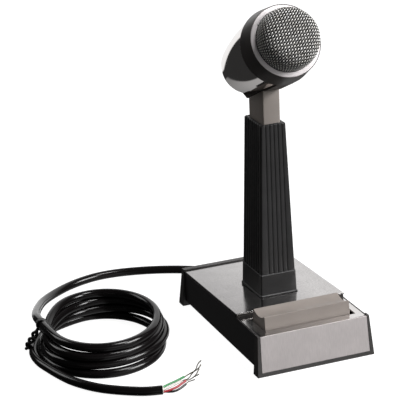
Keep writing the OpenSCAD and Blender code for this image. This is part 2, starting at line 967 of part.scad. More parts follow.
// Slide shoe: its lower half fills the guide tube, its upper half plugs the neck.
module neck_shoe() color("#e4e0d2") {
    bore = [shoe_bore_x, shoe_bore_y];
    shoe_x = mast_x - mast_t - shoe_gap;
    shoe_y = mast_y - mast_t - shoe_gap;
    plug_x = neck_x - neck_wall - seat_gap;
    plug_y = neck_y - neck_wall - seat_gap;
    translate([0, column_y, neck_low_z - shoe_low_h])
        linear_extrude(shoe_low_h)
            difference() {
                rect(shoe_x, shoe_y);
                rect(bore[0], bore[1]);
                translate([-bore[0], -mast_y])
                    square([2 * bore[0], LEAF[0][0] + hole_gap]);
            }
    translate([0, column_y, neck_low_z - eps])
        linear_extrude(shoe_plug_h)
            difference() {
                rect(plug_x, plug_y);
                rect(bore[0], bore[1]);
            }
}

// Leaf spring bowed out of the shoe's front slot.
module friction_spring() color("#d0d0d3")
    translate([0, column_y - mast_y, neck_low_z - shoe_low_h / 2])
        across(leaf_x)
            polygon(LEAF);

// ---------- head ----------

function shell_share(s) = (-s - band_len) / shell_taper;
function shell_r(s) =
    shell_front_r + (shell_rear_r - shell_front_r) * shell_share(s)
    + shell_bulge * sin(180 * max(shell_share(s), 0));
shell_end = -(band_len + shell_taper);
tongue_r = shell_r(-band_len - tongue_len) - shell_wall - seat_gap;

// Outline of the rear shell: a bowed taper and a rounded end, shrunk by inset.
function shell_outline(inset) = [
    [shell_r(-band_len) - inset, -band_len - 2 * seat_gap],
    for (i = [1 : shell_steps])
        [
            shell_r(-band_len - shell_taper * i / shell_steps) - inset,
            -band_len - shell_taper * i / shell_steps
        ],
    for (i = [1 : 12])
        [
            (shell_rear_r - inset) * pow(cos(90 * i / 12), 0.7),
            shell_end - (shell_cap - inset) * sin(90 * i / 12)
        ]
];

module shell_solid(inset, front) {
    rotate_extrude()
        polygon(concat(
            [[0, front], [shell_r(-band_len) - inset, front]],
            shell_outline(inset)
        ));
}

// Clearance holes for the saddle's screws, up into the shell.
module saddle_holes() {
    for (s = SADDLE_SCREWS)
        translate([0, 0, s])
            rotate([90, 0, 0])
                cylinder(h = big, r = saddle_screw_r + hole_gap);
}

module rear_shell() color("#c4c6ca")
    on_head()
        difference() {
            shell_solid(0, -band_len - seat_gap);
            shell_solid(shell_wall, -band_len + over);
            saddle_holes();
        }

module head_saddle() color("#2b2828")
    difference() {
        on_head()
            difference() {
                rotate([0, 90, 0])
                    translate([0, 0, -neck_x])
                        linear_extrude(2 * neck_x)
                            polygon(SADDLE);
                shell_solid(-seat_gap, 0);
                saddle_holes();
            }
        on_neck_top()
            translate([-big / 2, -big / 2, -big + seat_gap])
                cube(big);
    }

module saddle_screws() color("#c9c9cc")
    on_head()
        for (s = SADDLE_SCREWS) {
            seat = shell_r(s) - shell_wall - saddle_seat;
            translate([0, 0, s])
                rotate([90, 0, 0]) {
                    translate([0, 0, seat])
                        cylinder(h = saddle_screw_tip - seat, r = saddle_screw_r);
                    translate([0, 0, seat - head_h])
                        cylinder(h = head_h + seat_gap, r = saddle_screw_head_r);
                }
        }

module head_band() color("#3b3533")
    on_head()
        rotate_extrude()
            polygon([
                [ring_r, -fit_gap], [ring_r + band_lip, -2 * band_lip],
                [band_rear_r, -band_len + 2 * band_edge], [band_rear_r - band_edge, -band_len],
                [tongue_r, -band_len], [tongue_r, -band_len - tongue_len],
                [tongue_r - tongue_t, -band_len - tongue_len],
                [band_bore_r, -ring_t - grille_foot], [band_bore_r, -ring_t - ring_seat],
                [ring_r, -ring_t - ring_seat]
            ]);

module front_ring() color("#ddd6d6")
    on_head()
        rotate_extrude()
            polygon([
                [grille_r + ring_bore, -ring_t], [ring_r - ring_gap, -ring_t],
                [ring_r - ring_gap, -ring_edge], [ring_r - ring_edge, 0],
                [grille_r + ring_lip, ring_lip], [grille_r + ring_bore, ring_edge]
            ]);

// Radius of the grille's outside, at height z above the ring's face.
function dome_r(z, r, h) = r * pow(max(1 - pow(z / h, grille_power), 0), 1 / grille_power);

module dome(r, h, low) {
    steps = 24;
    rotate_extrude()
        polygon(concat(
            [[0, low], [r, low]],
            [for (i = [0 : steps]) [dome_r(h * sin(90 * i / steps), r, h), h * sin(90 * i / steps)]]
        ));
}

module grille() color("#8b8a86")
    on_head()
        difference() {
            union() {
                dome(grille_r, grille_h, -grille_foot);
                hoop(
                    grille_r - over, grille_flange_r, -grille_foot - hole_gap, -ring_t - seat_gap
                );
            }
            dome(grille_r - grille_wall, grille_h - grille_wall, -grille_foot - over);
        }

module wind_foam() color("#1a1a1a")
    on_head()
        difference() {
            dome(
                grille_r - grille_wall - seat_gap, grille_h - grille_wall - seat_gap,
                -grille_foot + hole_gap
            );
            dome(
                grille_r - grille_wall - foam_t, grille_h - grille_wall - foam_t,
                -grille_foot - over
            );
        }

module shock_ring() color("#1d1d1d")
    on_head()
        hoop(capsule_r + seat_gap, shock_outer_r, shock_rear, shock_front);

module cartridge_body() color("#a9abb0")
    on_head() {
        hoop(capsule_r - capsule_wall, capsule_r, capsule_rear, capsule_front);
        hoop(capsule_floor_r, capsule_r, capsule_rear, capsule_rear + capsule_floor);
    }

module cartridge_cap() color("#b9bbc0")
    on_head()
        difference() {
            translate([0, 0, capsule_front + seat_gap])
                cylinder(h = cap_t, r = capsule_r);
            for (k = [0 : cap_holes - 1])
                rotate([0, 0, 360 * k / cap_holes])
                    translate([cap_hole_at, 0, 0])
                        cylinder(h = big, r = cap_hole_r, center = true);
            cylinder(h = big, r = cap_centre_r, center = true);
        }

module diaphragm() color("#e6e1d0") {
    last = len(FILM) - 1;
    on_head()
        rotate_extrude()
            polygon(concat(
                FILM,
                [for (i = [last : -1 : 0]) [FILM[i][0], FILM[i][1] - film_t]]
            ));
}

module magnet() color("#5a5a5e")
    on_head()
        translate([0, 0, cup_rear + cup_floor])
            cylinder(h = magnet_h, r = magnet_r);

module pole_cup() color("#8a8b90")
    on_head()
        translate([0, 0, cup_rear])
            difference() {
                cylinder(h = cup_h, r = cup_r);
                translate([0, 0, cup_floor - seat_gap])
                    cylinder(h = cup_h, r = cup_bore_r);
            }

// ---------- cable ----------

module strain_relief() color("#141414")
    translate([cable_exit_x, bezel_back_y, cable_exit_z])
        rotate([-90, 0, 0])
            rotate_extrude()
                polygon([
                    [cable_r, -relief_in], [relief_neck_r, -relief_in],
                    [relief_neck_r, relief_flange_y], [relief_flange_r, relief_flange_y],
                    [relief_flange_r, relief_cone_y], [relief_tip_r, relief_len],
                    [cable_r, relief_len]
                ]);

module cable_clamp() color("#8f9094")
    difference() {
        translate([cable_exit_x - clamp_x, clamp_y, floor_z])
            cube([2 * clamp_x, clamp_d, cable_exit_z + clamp_over - floor_z]);
        translate([cable_exit_x, clamp_y - over, cable_exit_z])
            rotate([-90, 0, 0])
                cylinder(h = clamp_d + 2 * over, r = cable_r - clamp_bite);
    }

// The cable from inside the base to the coil's top.
module cable_lead() color("#0e0e0e")
    sweep(LEAD, cable_r);

// Section of the stacked turns, grown by out.
module coil_section(out) {
    inner = coil_r - coil_half_w - out;
    outer = coil_r + coil_half_w + out;
    low = max(0, 0.1 * out);
    polygon([
        [inner, coil_round], [inner + coil_round, low], [outer - coil_round, low],
        [outer, coil_round], [outer - coil_round, coil_slope_z],
        [outer - coil_slope_w, coil_h + out], [inner + coil_round, coil_h + out],
        [inner, coil_h - coil_round]
    ]);
}

module cable_coil() color("#0e0e0e")
    translate([coil_x, coil_y, 0])
        rotate_extrude()
            coil_section(0);

module cable_tail() color("#0e0e0e")
    sweep(TAIL, cable_r);

// Strip bound round the turns, at the coil's left.
module coil_tie() color("#101010")
    translate([coil_x, coil_y, 0])
        rotate([0, 0, tie_deg - tie_span / 2])
            rotate_extrude(angle = tie_span)
                coil_section(tie_out);

module wire_green() color("#1c8a3c") sweep(WIRE_GREEN, wire_r, 8);
module wire_white() color("#e8e2d8") sweep(WIRE_WHITE, wire_r, 8);
module wire_red() color("#b01f2e") sweep(WIRE_RED, wire_r, 8);
module wire_black() color("#151515") sweep(WIRE_BLACK, wire_r, 8);

base_shell();
bottom_plate();
rubber_feet();
bottom_screws();
top_plate();
switch_deck();
front_bezel();
front_panel();
rear_bezel();
rear_panel();
ballast_weight();
pivot_bracket();
hinge_pin();
ptt_lever();
ptt_bar();
bar_screws();
return_spring();
switch_body();
switch_plunger();
switch_terminals();
transformer_core();
transformer_bobbin();
terminal_strip();
terminal_screws();
column_bracket();
guide_tube();
column_shell();
column_screws();
column_bush();
neck_tube();
neck_shoe();
friction_spring();
head_saddle();
saddle_screws();
rear_shell();
head_band();
front_ring();
grille();
wind_foam();
shock_ring();
cartridge_body();
cartridge_cap();
diaphragm();
magnet();
pole_cup();
strain_relief();
cable_clamp();
cable_lead();
cable_coil();
cable_tail();
coil_tie();
wire_green();
wire_white();
wire_red();
wire_black();
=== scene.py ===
import json
import math

import bmesh
import bpy
import numpy as np
from mathutils import Matrix, Vector

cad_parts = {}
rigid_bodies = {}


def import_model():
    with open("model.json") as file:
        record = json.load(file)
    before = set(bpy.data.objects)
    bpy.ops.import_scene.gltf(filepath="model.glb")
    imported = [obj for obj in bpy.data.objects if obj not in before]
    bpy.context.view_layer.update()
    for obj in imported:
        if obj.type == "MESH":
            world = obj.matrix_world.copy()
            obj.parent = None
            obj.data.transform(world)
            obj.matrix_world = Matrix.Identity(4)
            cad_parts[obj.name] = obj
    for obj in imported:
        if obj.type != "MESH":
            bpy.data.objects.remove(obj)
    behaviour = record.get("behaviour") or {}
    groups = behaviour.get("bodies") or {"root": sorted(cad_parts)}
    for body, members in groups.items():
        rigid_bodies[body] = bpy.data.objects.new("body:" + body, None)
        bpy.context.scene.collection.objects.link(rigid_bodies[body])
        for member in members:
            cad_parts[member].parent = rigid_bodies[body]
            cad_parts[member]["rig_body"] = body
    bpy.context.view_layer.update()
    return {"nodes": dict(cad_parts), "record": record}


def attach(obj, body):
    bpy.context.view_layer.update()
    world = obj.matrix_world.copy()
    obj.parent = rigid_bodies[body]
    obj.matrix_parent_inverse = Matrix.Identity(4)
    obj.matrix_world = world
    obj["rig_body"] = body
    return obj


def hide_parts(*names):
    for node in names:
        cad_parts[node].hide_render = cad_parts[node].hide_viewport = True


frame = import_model()

MM = 0.001

# ---------- camera, floor and light ----------

CAMERA_AT = (-0.53665, -1.23702, 0.59642)
CAMERA_YAW = math.radians(21.145)
CAMERA_DOWN = math.radians(19.798)
CAMERA_ROLL = math.radians(-2.395)
CAMERA_LENS = 164.8
SENSOR_WIDTH = 36
CLIP_NEAR, CLIP_FAR = 0.05, 20


def make_camera():
    data = bpy.data.cameras.new("camera")
    data.lens = CAMERA_LENS
    data.sensor_width = SENSOR_WIDTH
    data.clip_start, data.clip_end = CLIP_NEAR, CLIP_FAR
    cam = bpy.data.objects.new("camera", data)
    bpy.context.scene.collection.objects.link(cam)
    sy, cy = math.sin(CAMERA_YAW), math.cos(CAMERA_YAW)
    sp, cp = math.sin(CAMERA_DOWN), math.cos(CAMERA_DOWN)
    look = Vector((sy * cp, cy * cp, -sp))
    right = Vector((cy, -sy, 0))
    up = right.cross(look)
    sr, cr = math.sin(CAMERA_ROLL), math.cos(CAMERA_ROLL)
    x = cr * right + sr * up
    y = -sr * right + cr * up
    rows = Matrix((x, y, -look)).transposed().to_4x4()
    cam.matrix_world = Matrix.Translation(CAMERA_AT) @ rows
    bpy.context.scene.camera = cam


def area_light(name, at, to, size, watts):
    data = bpy.data.lights.new(name, "AREA")
    data.shape = "RECTANGLE"
    data.size, data.size_y = size
    data.energy = watts
    lamp = bpy.data.objects.new(name, data)
    bpy.context.scene.collection.objects.link(lamp)
    lamp.location = at
    lamp.rotation_euler = (Vector(to) - Vector(at)).to_track_quat("-Z", "Y").to_euler()


STAGE_HALF = 6.0


def make_stage():
    """A white floor and a pale surround, which only the camera sees."""
    half = STAGE_HALF
    mesh = bpy.data.meshes.new("floor")
    mesh.from_pydata(
        [(-half, -half, 0), (half, -half, 0), (half, half, 0), (-half, half, 0)], [], [(0, 1, 2, 3)]
    )
    floor = bpy.data.objects.new("floor", mesh)
    mesh.materials.append(stage_material("floor_white", 0.30, 0.96))
    surround_mesh = bpy.data.meshes.new("surround")
    bm = bmesh.new()
    bmesh.ops.create_uvsphere(bm, u_segments=48, v_segments=24, radius=half * 0.98)
    bm.to_mesh(surround_mesh)
    bm.free()
    surround = bpy.data.objects.new("surround", surround_mesh)
    surround_mesh.materials.append(stage_material("surround_white", 0.0, 0.99))
    for obj in (floor, surround):
        bpy.context.scene.collection.objects.link(obj)
        obj.visible_glossy = False
        obj.visible_diffuse = False
        obj.visible_transmission = False
        obj.visible_shadow = False


def stage_material(name, grey, glow):
    mat = bpy.data.materials.new(name)
    mat.use_nodes = True
    shader = mat.node_tree.nodes["Principled BSDF"]
    shader.inputs["Base Color"].default_value = (grey, grey, grey, 1)
    shader.inputs["Roughness"].default_value = 1.0
    shader.inputs["Specular IOR Level"].default_value = 0.0
    shader.inputs["Emission Color"].default_value = (1, 1, 1, 1)
    shader.inputs["Emission Strength"].default_value = glow
    return mat


WALL_LIGHT = 0.95
FRONT_LIGHT = 0.8
TABLE_LIGHT = 0.21
DEEP_TABLE_LIGHT = 0.40
DARK_LIGHT = 0.027
# Where each band of light starts and ends, along one component of the direction.
WALL_DEPTH, WALL_SIDE = (0.05, 0.5), (-0.07, -0.03)
WALL_FOOT, WALL_TOP = (-0.34, -0.32), (0.55, 0.9)
FRONT_DEPTH, FRONT_SIDE = (-0.7, -0.3), (-0.3, 0.2)
FRONT_FOOT, FRONT_TOP = (-0.5, -0.1), (0.08, 0.35)
FRONT_LEFT_SHARE = 0.15
TABLE_RISE, TABLE_EDGE, TABLE_SIDE = (-0.8, -0.45), (-0.46, -0.43), (-0.10, -0.06)


def make_world():
    """A dark studio: a white wall low behind the object, one in front, and a dim table below."""
    world = bpy.data.worlds.new("studio")
    bpy.context.scene.world = world
    world.use_nodes = True
    tree = world.node_tree
    coords = tree.nodes.new("ShaderNodeTexCoord")
    split = tree.nodes.new("ShaderNodeSeparateXYZ")
    tree.links.new(coords.outputs["Generated"], split.inputs[0])

    def step(axis, span, low=0.0, high=1.0):
        start, end = span
        node = tree.nodes.new("ShaderNodeMapRange")
        node.interpolation_type = "SMOOTHSTEP"
        node.inputs["From Min"].default_value = start
        node.inputs["From Max"].default_value = end
        node.inputs["To Min"].default_value = low
        node.inputs["To Max"].default_value = high
        tree.links.new(split.outputs[axis], node.inputs["Value"])
        return node.outputs["Result"]

    def combine(operation, a, b):
        node = tree.nodes.new("ShaderNodeMath")
        node.operation = operation
        tree.links.new(a, node.inputs[0])
        if isinstance(b, float):
            node.inputs[1].default_value = b
        else:
            tree.links.new(b, node.inputs[1])
        return node.outputs[0]

    def product(result, *others):
        for other in others:
            result = combine("MULTIPLY", result, other)
        return result

    wall = product(step("Y", WALL_DEPTH), step("Z", WALL_FOOT), step("X", WALL_SIDE),
                   step("Z", WALL_TOP, WALL_LIGHT, 0.0))
    front = product(step("Y", FRONT_DEPTH, 1.0, 0.0), step("Z", FRONT_FOOT, 0.0, FRONT_LIGHT),
                    step("X", FRONT_SIDE, FRONT_LEFT_SHARE, 1.0), step("Z", FRONT_TOP, 1.0, 0.0))
    table = product(step("Z", TABLE_RISE, DEEP_TABLE_LIGHT, TABLE_LIGHT),
                    step("Z", TABLE_EDGE, 1.0, 0.0), step("X", TABLE_SIDE))
    total = combine("ADD", combine("ADD", wall, front), table)
    total = combine("MAXIMUM", total, DARK_LIGHT)
    background = tree.nodes["Background"]
    background.inputs["Color"].default_value = (1, 1, 1, 1)
    tree.links.new(total, background.inputs["Strength"])


# Name, place, aim, size and watts of each light.
LIGHTS = [
    ("key", (1.5, -1.15, 1.2), (0, 0, 0.08), (1.1, 0.9), 52),
    ("top", (0.42, -0.42, 1.35), (0, 0, 0), (0.45, 0.45), 9),
    ("rear_left", (-0.95, 0.95, 0.9), (0, 0, 0.15), (0.6, 0.8), 4),
]

bpy.context.scene.view_settings.view_transform = "Standard"
make_camera()
make_stage()
make_world()
for light_row in LIGHTS:
    area_light(*light_row)

# ---------- materials ----------


def link_noise(tree, coords, scale, detail=3.0, stretch=(1, 1, 1)):
    mapping = tree.nodes.new("ShaderNodeMapping")
    mapping.inputs["Scale"].default_value = stretch
    tree.links.new(coords.outputs["Object"], mapping.inputs["Vector"])
    noise = tree.nodes.new("ShaderNodeTexNoise")
    noise.inputs["Scale"].default_value = scale
    noise.inputs["Detail"].default_value = detail
    tree.links.new(mapping.outputs["Vector"], noise.inputs["Vector"])
    return noise


def remap(tree, source, low, high, start=0.3, end=0.7):
    node = tree.nodes.new("ShaderNodeMapRange")
    node.inputs["From Min"].default_value = start
    node.inputs["From Max"].default_value = end
    node.inputs["To Min"].default_value = low
    node.inputs["To Max"].default_value = high
    tree.links.new(source, node.inputs["Value"])
    return node.outputs["Result"]


def paint_sheen(tree, bright, dark):
    """Painted highlight and shade: the bright finish where the mesh's painted attribute is 1, and a
    dark colour where it is 0.
    """
    painted_sheen = tree.nodes.new("ShaderNodeAttribute")
    painted_sheen.attribute_name = "painted_sheen"
    mix = tree.nodes.new("ShaderNodeMix")
    mix.data_type = "RGBA"
    tree.links.new(painted_sheen.outputs["Fac"], mix.inputs["Factor"])
    mix.inputs["A"].default_value = (*dark, 1)
    tree.links.new(bright, mix.inputs["B"])
    return mix.outputs["Result"]


# Where the painted shade towards the base's left side is full and where it ends, in metres across
# the base.
SHADE_FULL_X, SHADE_END_X = -0.046, 0.030


def painted_left_shade(tree, coords, paint, level):
    """The finish darkened little by little towards the base's left side: painted shade for light
    that falls off there.
    """
    split = tree.nodes.new("ShaderNodeSeparateXYZ")
    tree.links.new(coords.outputs["Object"], split.inputs[0])
    scale = tree.nodes.new("ShaderNodeVectorMath")
    scale.operation = "SCALE"
    tree.links.new(paint, scale.inputs[0])
    amount = remap(tree, split.outputs["X"], level, 1.0, SHADE_FULL_X, SHADE_END_X)
    tree.links.new(amount, scale.inputs["Scale"])
    return scale.outputs["Vector"]


def material(
    name, color, rough, metal=0.0, grain=900.0, grain_depth=0.02, stretch=(1, 1, 1),
    mottle=0.12, mottle_scale=60.0, rough_spread=0.06, speckle=0.0, ior=1.5,
    painted_shade_colour=None, painted_shade_level=1.0,
):
    """A material with a fine grain (bump), a soft mottle of its colour and a changing gloss."""
    mat = bpy.data.materials.new(name)
    mat.use_nodes = True
    tree = mat.node_tree
    shader = tree.nodes["Principled BSDF"]
    coords = tree.nodes.new("ShaderNodeTexCoord")
    shader.inputs["Metallic"].default_value = metal
    shader.inputs["IOR"].default_value = ior

    broad = link_noise(tree, coords, mottle_scale)
    fine = link_noise(tree, coords, grain, 4.0, stretch)

    shade = tree.nodes.new("ShaderNodeMix")
    shade.data_type = "RGBA"
    dark = [c * (1 - mottle) for c in color]
    light = [min(1.0, c * (1 + mottle)) for c in color]
    shade.inputs["A"].default_value = (*dark, 1)
    shade.inputs["B"].default_value = (*light, 1)
    tree.links.new(remap(tree, broad.outputs["Fac"], 0, 1), shade.inputs["Factor"])
    paint = shade.outputs["Result"]
    if speckle:
        spots = tree.nodes.new("ShaderNodeMix")
        spots.data_type = "RGBA"
        spots.blend_type = "MULTIPLY"
        spots.inputs["Factor"].default_value = 1.0
        tree.links.new(paint, spots.inputs["A"])
        grey = tree.nodes.new("ShaderNodeCombineColor")
        level = remap(tree, fine.outputs["Fac"], 1 - speckle, 1 + speckle)
        for channel in ("Red", "Green", "Blue"):
            tree.links.new(level, grey.inputs[channel])
        tree.links.new(grey.outputs["Color"], spots.inputs["B"])
        paint = spots.outputs["Result"]
    # Painted highlight and shade from the mesh's per-point attribute.
    if painted_shade_colour:
        paint = paint_sheen(tree, paint, painted_shade_colour)
    # Painted shade towards the base's left side.
    if painted_shade_level < 1:
        paint = painted_left_shade(tree, coords, paint, painted_shade_level)
    tree.links.new(paint, shader.inputs["Base Color"])

    low, high = max(0.02, rough - rough_spread), rough + rough_spread
    tree.links.new(remap(tree, broad.outputs["Fac"], low, high), shader.inputs["Roughness"])

    bump = tree.nodes.new("ShaderNodeBump")
    bump.inputs["Strength"].default_value = 1.0
    bump.inputs["Distance"].default_value = grain_depth * MM
    tree.links.new(fine.outputs["Fac"], bump.inputs["Height"])
    tree.links.new(bump.outputs["Normal"], shader.inputs["Normal"])
    return mat


LOOKS = {
    "black_shell": dict(color=(0.020, 0.018, 0.019), rough=0.34, grain=700, grain_depth=0.012),
    "steel": dict(color=(0.55, 0.55, 0.57), rough=0.34, metal=1.0, grain=900, grain_depth=0.01,
                  stretch=(0.08, 1, 1)),
    "screws": dict(color=(0.66, 0.66, 0.68), rough=0.25, metal=1.0, grain=1500, grain_depth=0.005),
    "rubber": dict(color=(0.022, 0.022, 0.022), rough=0.6, grain=1200, grain_depth=0.03),
    # Plate and deck get painted shade towards the base's left side.
    "speckled_plate": dict(color=(0.61, 0.59, 0.585), rough=0.15, metal=1.0, grain=1500,
                           grain_depth=0.006, speckle=0.22, mottle=0.05, rough_spread=0.03,
                           painted_shade_level=0.62),
    "deck": dict(color=(0.80, 0.775, 0.76), rough=0.15, metal=1.0, grain=1800, grain_depth=0.0015,
                 speckle=0.04, mottle=0.05, painted_shade_level=0.5),
    # Painted shade: the strip under the plate's front edge is near black for the shade there.
    "painted_shade_riser": dict(color=(0.040, 0.036, 0.034), rough=0.5, grain=1400, grain_depth=0.004, ior=1.3),
    "bezel": dict(color=(0.050, 0.047, 0.046), rough=0.42, grain=1400, grain_depth=0.02),
    "front_panel": dict(color=(0.64, 0.595, 0.59), rough=0.42, metal=0.7, grain=1500,
                        grain_depth=0.004, stretch=(1, 1, 0.03), speckle=0.05, mottle=0.04),
    "iron": dict(color=(0.12, 0.12, 0.125), rough=0.7, metal=0.6, grain=500, grain_depth=0.12),
    "talk_bar": dict(color=(0.275, 0.240, 0.218), rough=0.48, grain=1500, grain_depth=0.008,
                     mottle=0.05),
    "column": dict(color=(0.024, 0.0235, 0.024), rough=0.36, ior=1.42, grain=1100,
                   grain_depth=0.012),
    "neck": dict(color=(0.245, 0.214, 0.193), rough=0.46, grain=1500, grain_depth=0.008,
                 mottle=0.05),
    "saddle": dict(color=(0.080, 0.068, 0.062), rough=0.55, ior=1.3, grain=1200, grain_depth=0.015),
    "chrome": dict(color=(0.86, 0.82, 0.80), rough=0.05, metal=1.0, grain=260, grain_depth=0.0012,
                   mottle=0.02, rough_spread=0.02),
    "band": dict(color=(0.052, 0.045, 0.043), rough=0.38, grain=1300, grain_depth=0.015),
    "silver_ring": dict(color=(0.90, 0.85, 0.855), rough=0.6, grain=1600,
                        grain_depth=0.004, mottle=0.03),
    # The grille's wires: painted highlight on their crests, painted shade near black elsewhere.
    "wire_mesh": dict(color=(1.0, 0.96, 0.90), rough=0.34, metal=0.1, grain=1800,
                      grain_depth=0.01, mottle=0.10, mottle_scale=220, painted_shade_colour=(0.012, 0.011, 0.010)),
    "grille_rim": dict(color=(0.055, 0.05, 0.048), rough=0.4, metal=0.8, grain=1500,
                       grain_depth=0.008),
    "foam": dict(color=(0.004, 0.004, 0.004), rough=1.0, ior=1.1, grain=2200, grain_depth=0.25),
    "phenolic": dict(color=(0.26, 0.15, 0.08), rough=0.45, grain=700, grain_depth=0.02),
    "copper": dict(color=(0.62, 0.27, 0.12), rough=0.35, metal=1.0, grain=1500, grain_depth=0.15,
                   stretch=(0.05, 0.05, 1)),
    "brass": dict(color=(0.72, 0.56, 0.28), rough=0.32, metal=1.0, grain=1500, grain_depth=0.006),
    "nylon": dict(color=(0.74, 0.71, 0.64), rough=0.42, grain=900, grain_depth=0.012),
    "switch_black": dict(color=(0.022, 0.026, 0.036), rough=0.30, grain=900, grain_depth=0.01),
    "diaphragm": dict(color=(0.72, 0.68, 0.58), rough=0.18, grain=1500, grain_depth=0.006),
    "cable": dict(color=(0.006, 0.005, 0.0052), rough=0.17, grain=420, grain_depth=0.004,
                  mottle_scale=35, rough_spread=0.04, ior=1.42),
    "tie": dict(color=(0.014, 0.014, 0.014), rough=0.42, grain=1600, grain_depth=0.06),
    "wire_green": dict(color=(0.012, 0.26, 0.060), rough=0.34, grain=900, grain_depth=0.02),
    "wire_white": dict(color=(0.80, 0.77, 0.72), rough=0.36, grain=900, grain_depth=0.02),
    "wire_red": dict(color=(0.44, 0.012, 0.025), rough=0.34, grain=900, grain_depth=0.02),
    "wire_black": dict(color=(0.015, 0.015, 0.015), rough=0.34, grain=900, grain_depth=0.02),
    "tinned": dict(color=(0.10, 0.088, 0.058), rough=0.42, metal=0.7, grain=2500, grain_depth=0.03,
                   mottle=0.2, mottle_scale=300),
}
MATERIALS = {name: material(name, **look) for name, look in LOOKS.items()}

record_nodes = {s["node"]: s["material_slot"] for s in frame["record"]["subparts"]}
for node_name, node_object in frame["nodes"].items():
    node_object.data.materials.clear()
    node_object.data.materials.append(MATERIALS[record_nodes[node_name]])

# ---------- helpers for shapes (millimetres in, metres out) ----------

# Edges sharper than this many degrees are bevelled.
EDGE_ANGLE = 30.0
# Distances in metres at which points count as one.
CAD_WELD, LATHE_WELD = 0.000002, 0.000001
# Faces within this many degrees of each other are merged in a CAD node.
FLAT_ANGLE = 0.5


def add_object(name, data, slot, body):
    obj = bpy.data.objects.new(name, data)
    bpy.context.scene.collection.objects.link(obj)
    data.materials.append(MATERIALS[slot])
    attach(obj, body)
    return obj


def mesh_piece(name, points, faces, slot, body="root", sharp=30.0, bevel=0.0, segments=2):
    """A mesh piece from points in millimetres."""
    mesh = bpy.data.meshes.new(name)
    mesh.from_pydata([tuple(float(c) * MM for c in p) for p in points], [], faces)
    mesh.validate()
    fix_normals(mesh)
    obj = add_object(name, mesh, slot, body)
    smooth(obj, sharp)
    if bevel:
        add_bevel(obj, bevel, segments)
    return obj


def fix_normals(mesh):
    bm = bmesh.new()
    bm.from_mesh(mesh)
    bmesh.ops.recalc_face_normals(bm, faces=bm.faces)
    bm.to_mesh(mesh)
    bm.free()


def smooth(obj, sharp):
    for polygon in obj.data.polygons:
        polygon.use_smooth = True
    obj.data.set_sharp_from_angle(angle=math.radians(sharp))


def add_bevel(obj, width, segments):
    mod = obj.modifiers.new("edges", "BEVEL")
    mod.width = width * MM
    mod.segments = segments
    mod.limit_method = "ANGLE"
    mod.angle_limit = math.radians(EDGE_ANGLE)
    mod.harden_normals = True


def softened(node, width):
    """A copy of a CAD node with its edges rounded, shown in its place."""
    source = frame["nodes"][node]
    bm = bmesh.new()
    bm.from_mesh(source.data)
    bmesh.ops.remove_doubles(bm, verts=bm.verts, dist=CAD_WELD)
    bmesh.ops.dissolve_limit(
        bm, angle_limit=math.radians(FLAT_ANGLE), verts=bm.verts, edges=bm.edges
    )
    mesh = bpy.data.meshes.new(node + "_made")
    bm.to_mesh(mesh)
    bm.free()
    obj = add_object(node + "_made", mesh, record_nodes[node], source["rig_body"])
    smooth(obj, 30.0)
    add_bevel(obj, width, 3)
    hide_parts(node)


def skin(rings, caps=True):
    """Points and faces of a skin through rings with the same number of points."""
    count = len(rings[0])
    points = [p for ring in rings for p in ring]
    faces = []
    for i in range(len(rings) - 1):
        for k in range(count):
            a, b = i * count + k, i * count + (k + 1) % count
            faces.append((a, b, b + count, a + count))
    if caps:
        faces.append(tuple(range(count - 1, -1, -1)))
        last = (len(rings) - 1) * count
        faces.append(tuple(range(last, last + count)))
    return points, faces


def loft(name, rings, slot, body="root", sharp=30.0, caps=True):
    return mesh_piece(name, *skin(rings, caps), slot, body, sharp)


def joined(name, shapes, slot):
    """One mesh piece from several shapes of points and faces."""
    points, faces = [], []
    for some_points, some_faces in shapes:
        first = len(points)
        points += list(some_points)
        faces += [tuple(k + first for k in face) for face in some_faces]
    return mesh_piece(name, points, faces, slot, sharp=50.0)


def lathe(name, profile, place, slot, body, sharp, turns=128):
    """Turns a closed profile of (radius, height) round place's own z axis."""
    rows = len(profile)
    points, faces = [], []
    for k in range(turns):
        angle = 2 * math.pi * k / turns
        for r, h in profile:
            points.append(place((r * math.cos(angle), r * math.sin(angle), h)))
    for k in range(turns):
        for i in range(rows):
            a, b = k * rows + i, k * rows + (i + 1) % rows
            c, d = (k + 1) % turns * rows + (i + 1) % rows, (k + 1) % turns * rows + i
            faces.append((a, b, c, d))
    obj = mesh_piece(name, points, faces, slot, body, sharp)
    weld(obj)
    return obj


def weld(obj):
    bm = bmesh.new()
    bm.from_mesh(obj.data)
    bmesh.ops.remove_doubles(bm, verts=bm.verts, dist=LATHE_WELD)
    bmesh.ops.recalc_face_normals(bm, faces=bm.faces)
    bm.to_mesh(obj.data)
    bm.free()


def rounded(corners, radius, steps=5):
    """A closed 2D outline with each corner rounded. radius is one number or one per corner."""
    out = []
    count = len(corners)
    for i in range(count):
        r = radius[i] if isinstance(radius, (list, tuple)) else radius
        p = np.array(corners[i], float)
        before = np.array(corners[i - 1], float) - p
        after = np.array(corners[(i + 1) % count], float) - p
        reach = min(r, 0.45 * np.linalg.norm(before), 0.45 * np.linalg.norm(after))
        a = p + before / np.linalg.norm(before) * reach
        b = p + after / np.linalg.norm(after) * reach
        for s in range(steps + 1):
            t = s / steps
            out.append(tuple((1 - t) ** 2 * a + 2 * t * (1 - t) * p + t * t * b))
    return out


def prism_across(name, outline, half_w, slot, bevel, body="root"):
    """A side outline in (y, z), extruded across the width, with its end edges rounded."""
    count = len(outline)
    points = [(-half_w, y, z) for y, z in outline] + [(half_w, y, z) for y, z in outline]
    faces = [tuple(range(count)), tuple(range(2 * count - 1, count - 1, -1))]
    for k in range(count):
        n = (k + 1) % count
        faces.append((k, n, n + count, k + count))
    return mesh_piece(name, points, faces, slot, body, bevel=bevel, segments=3)


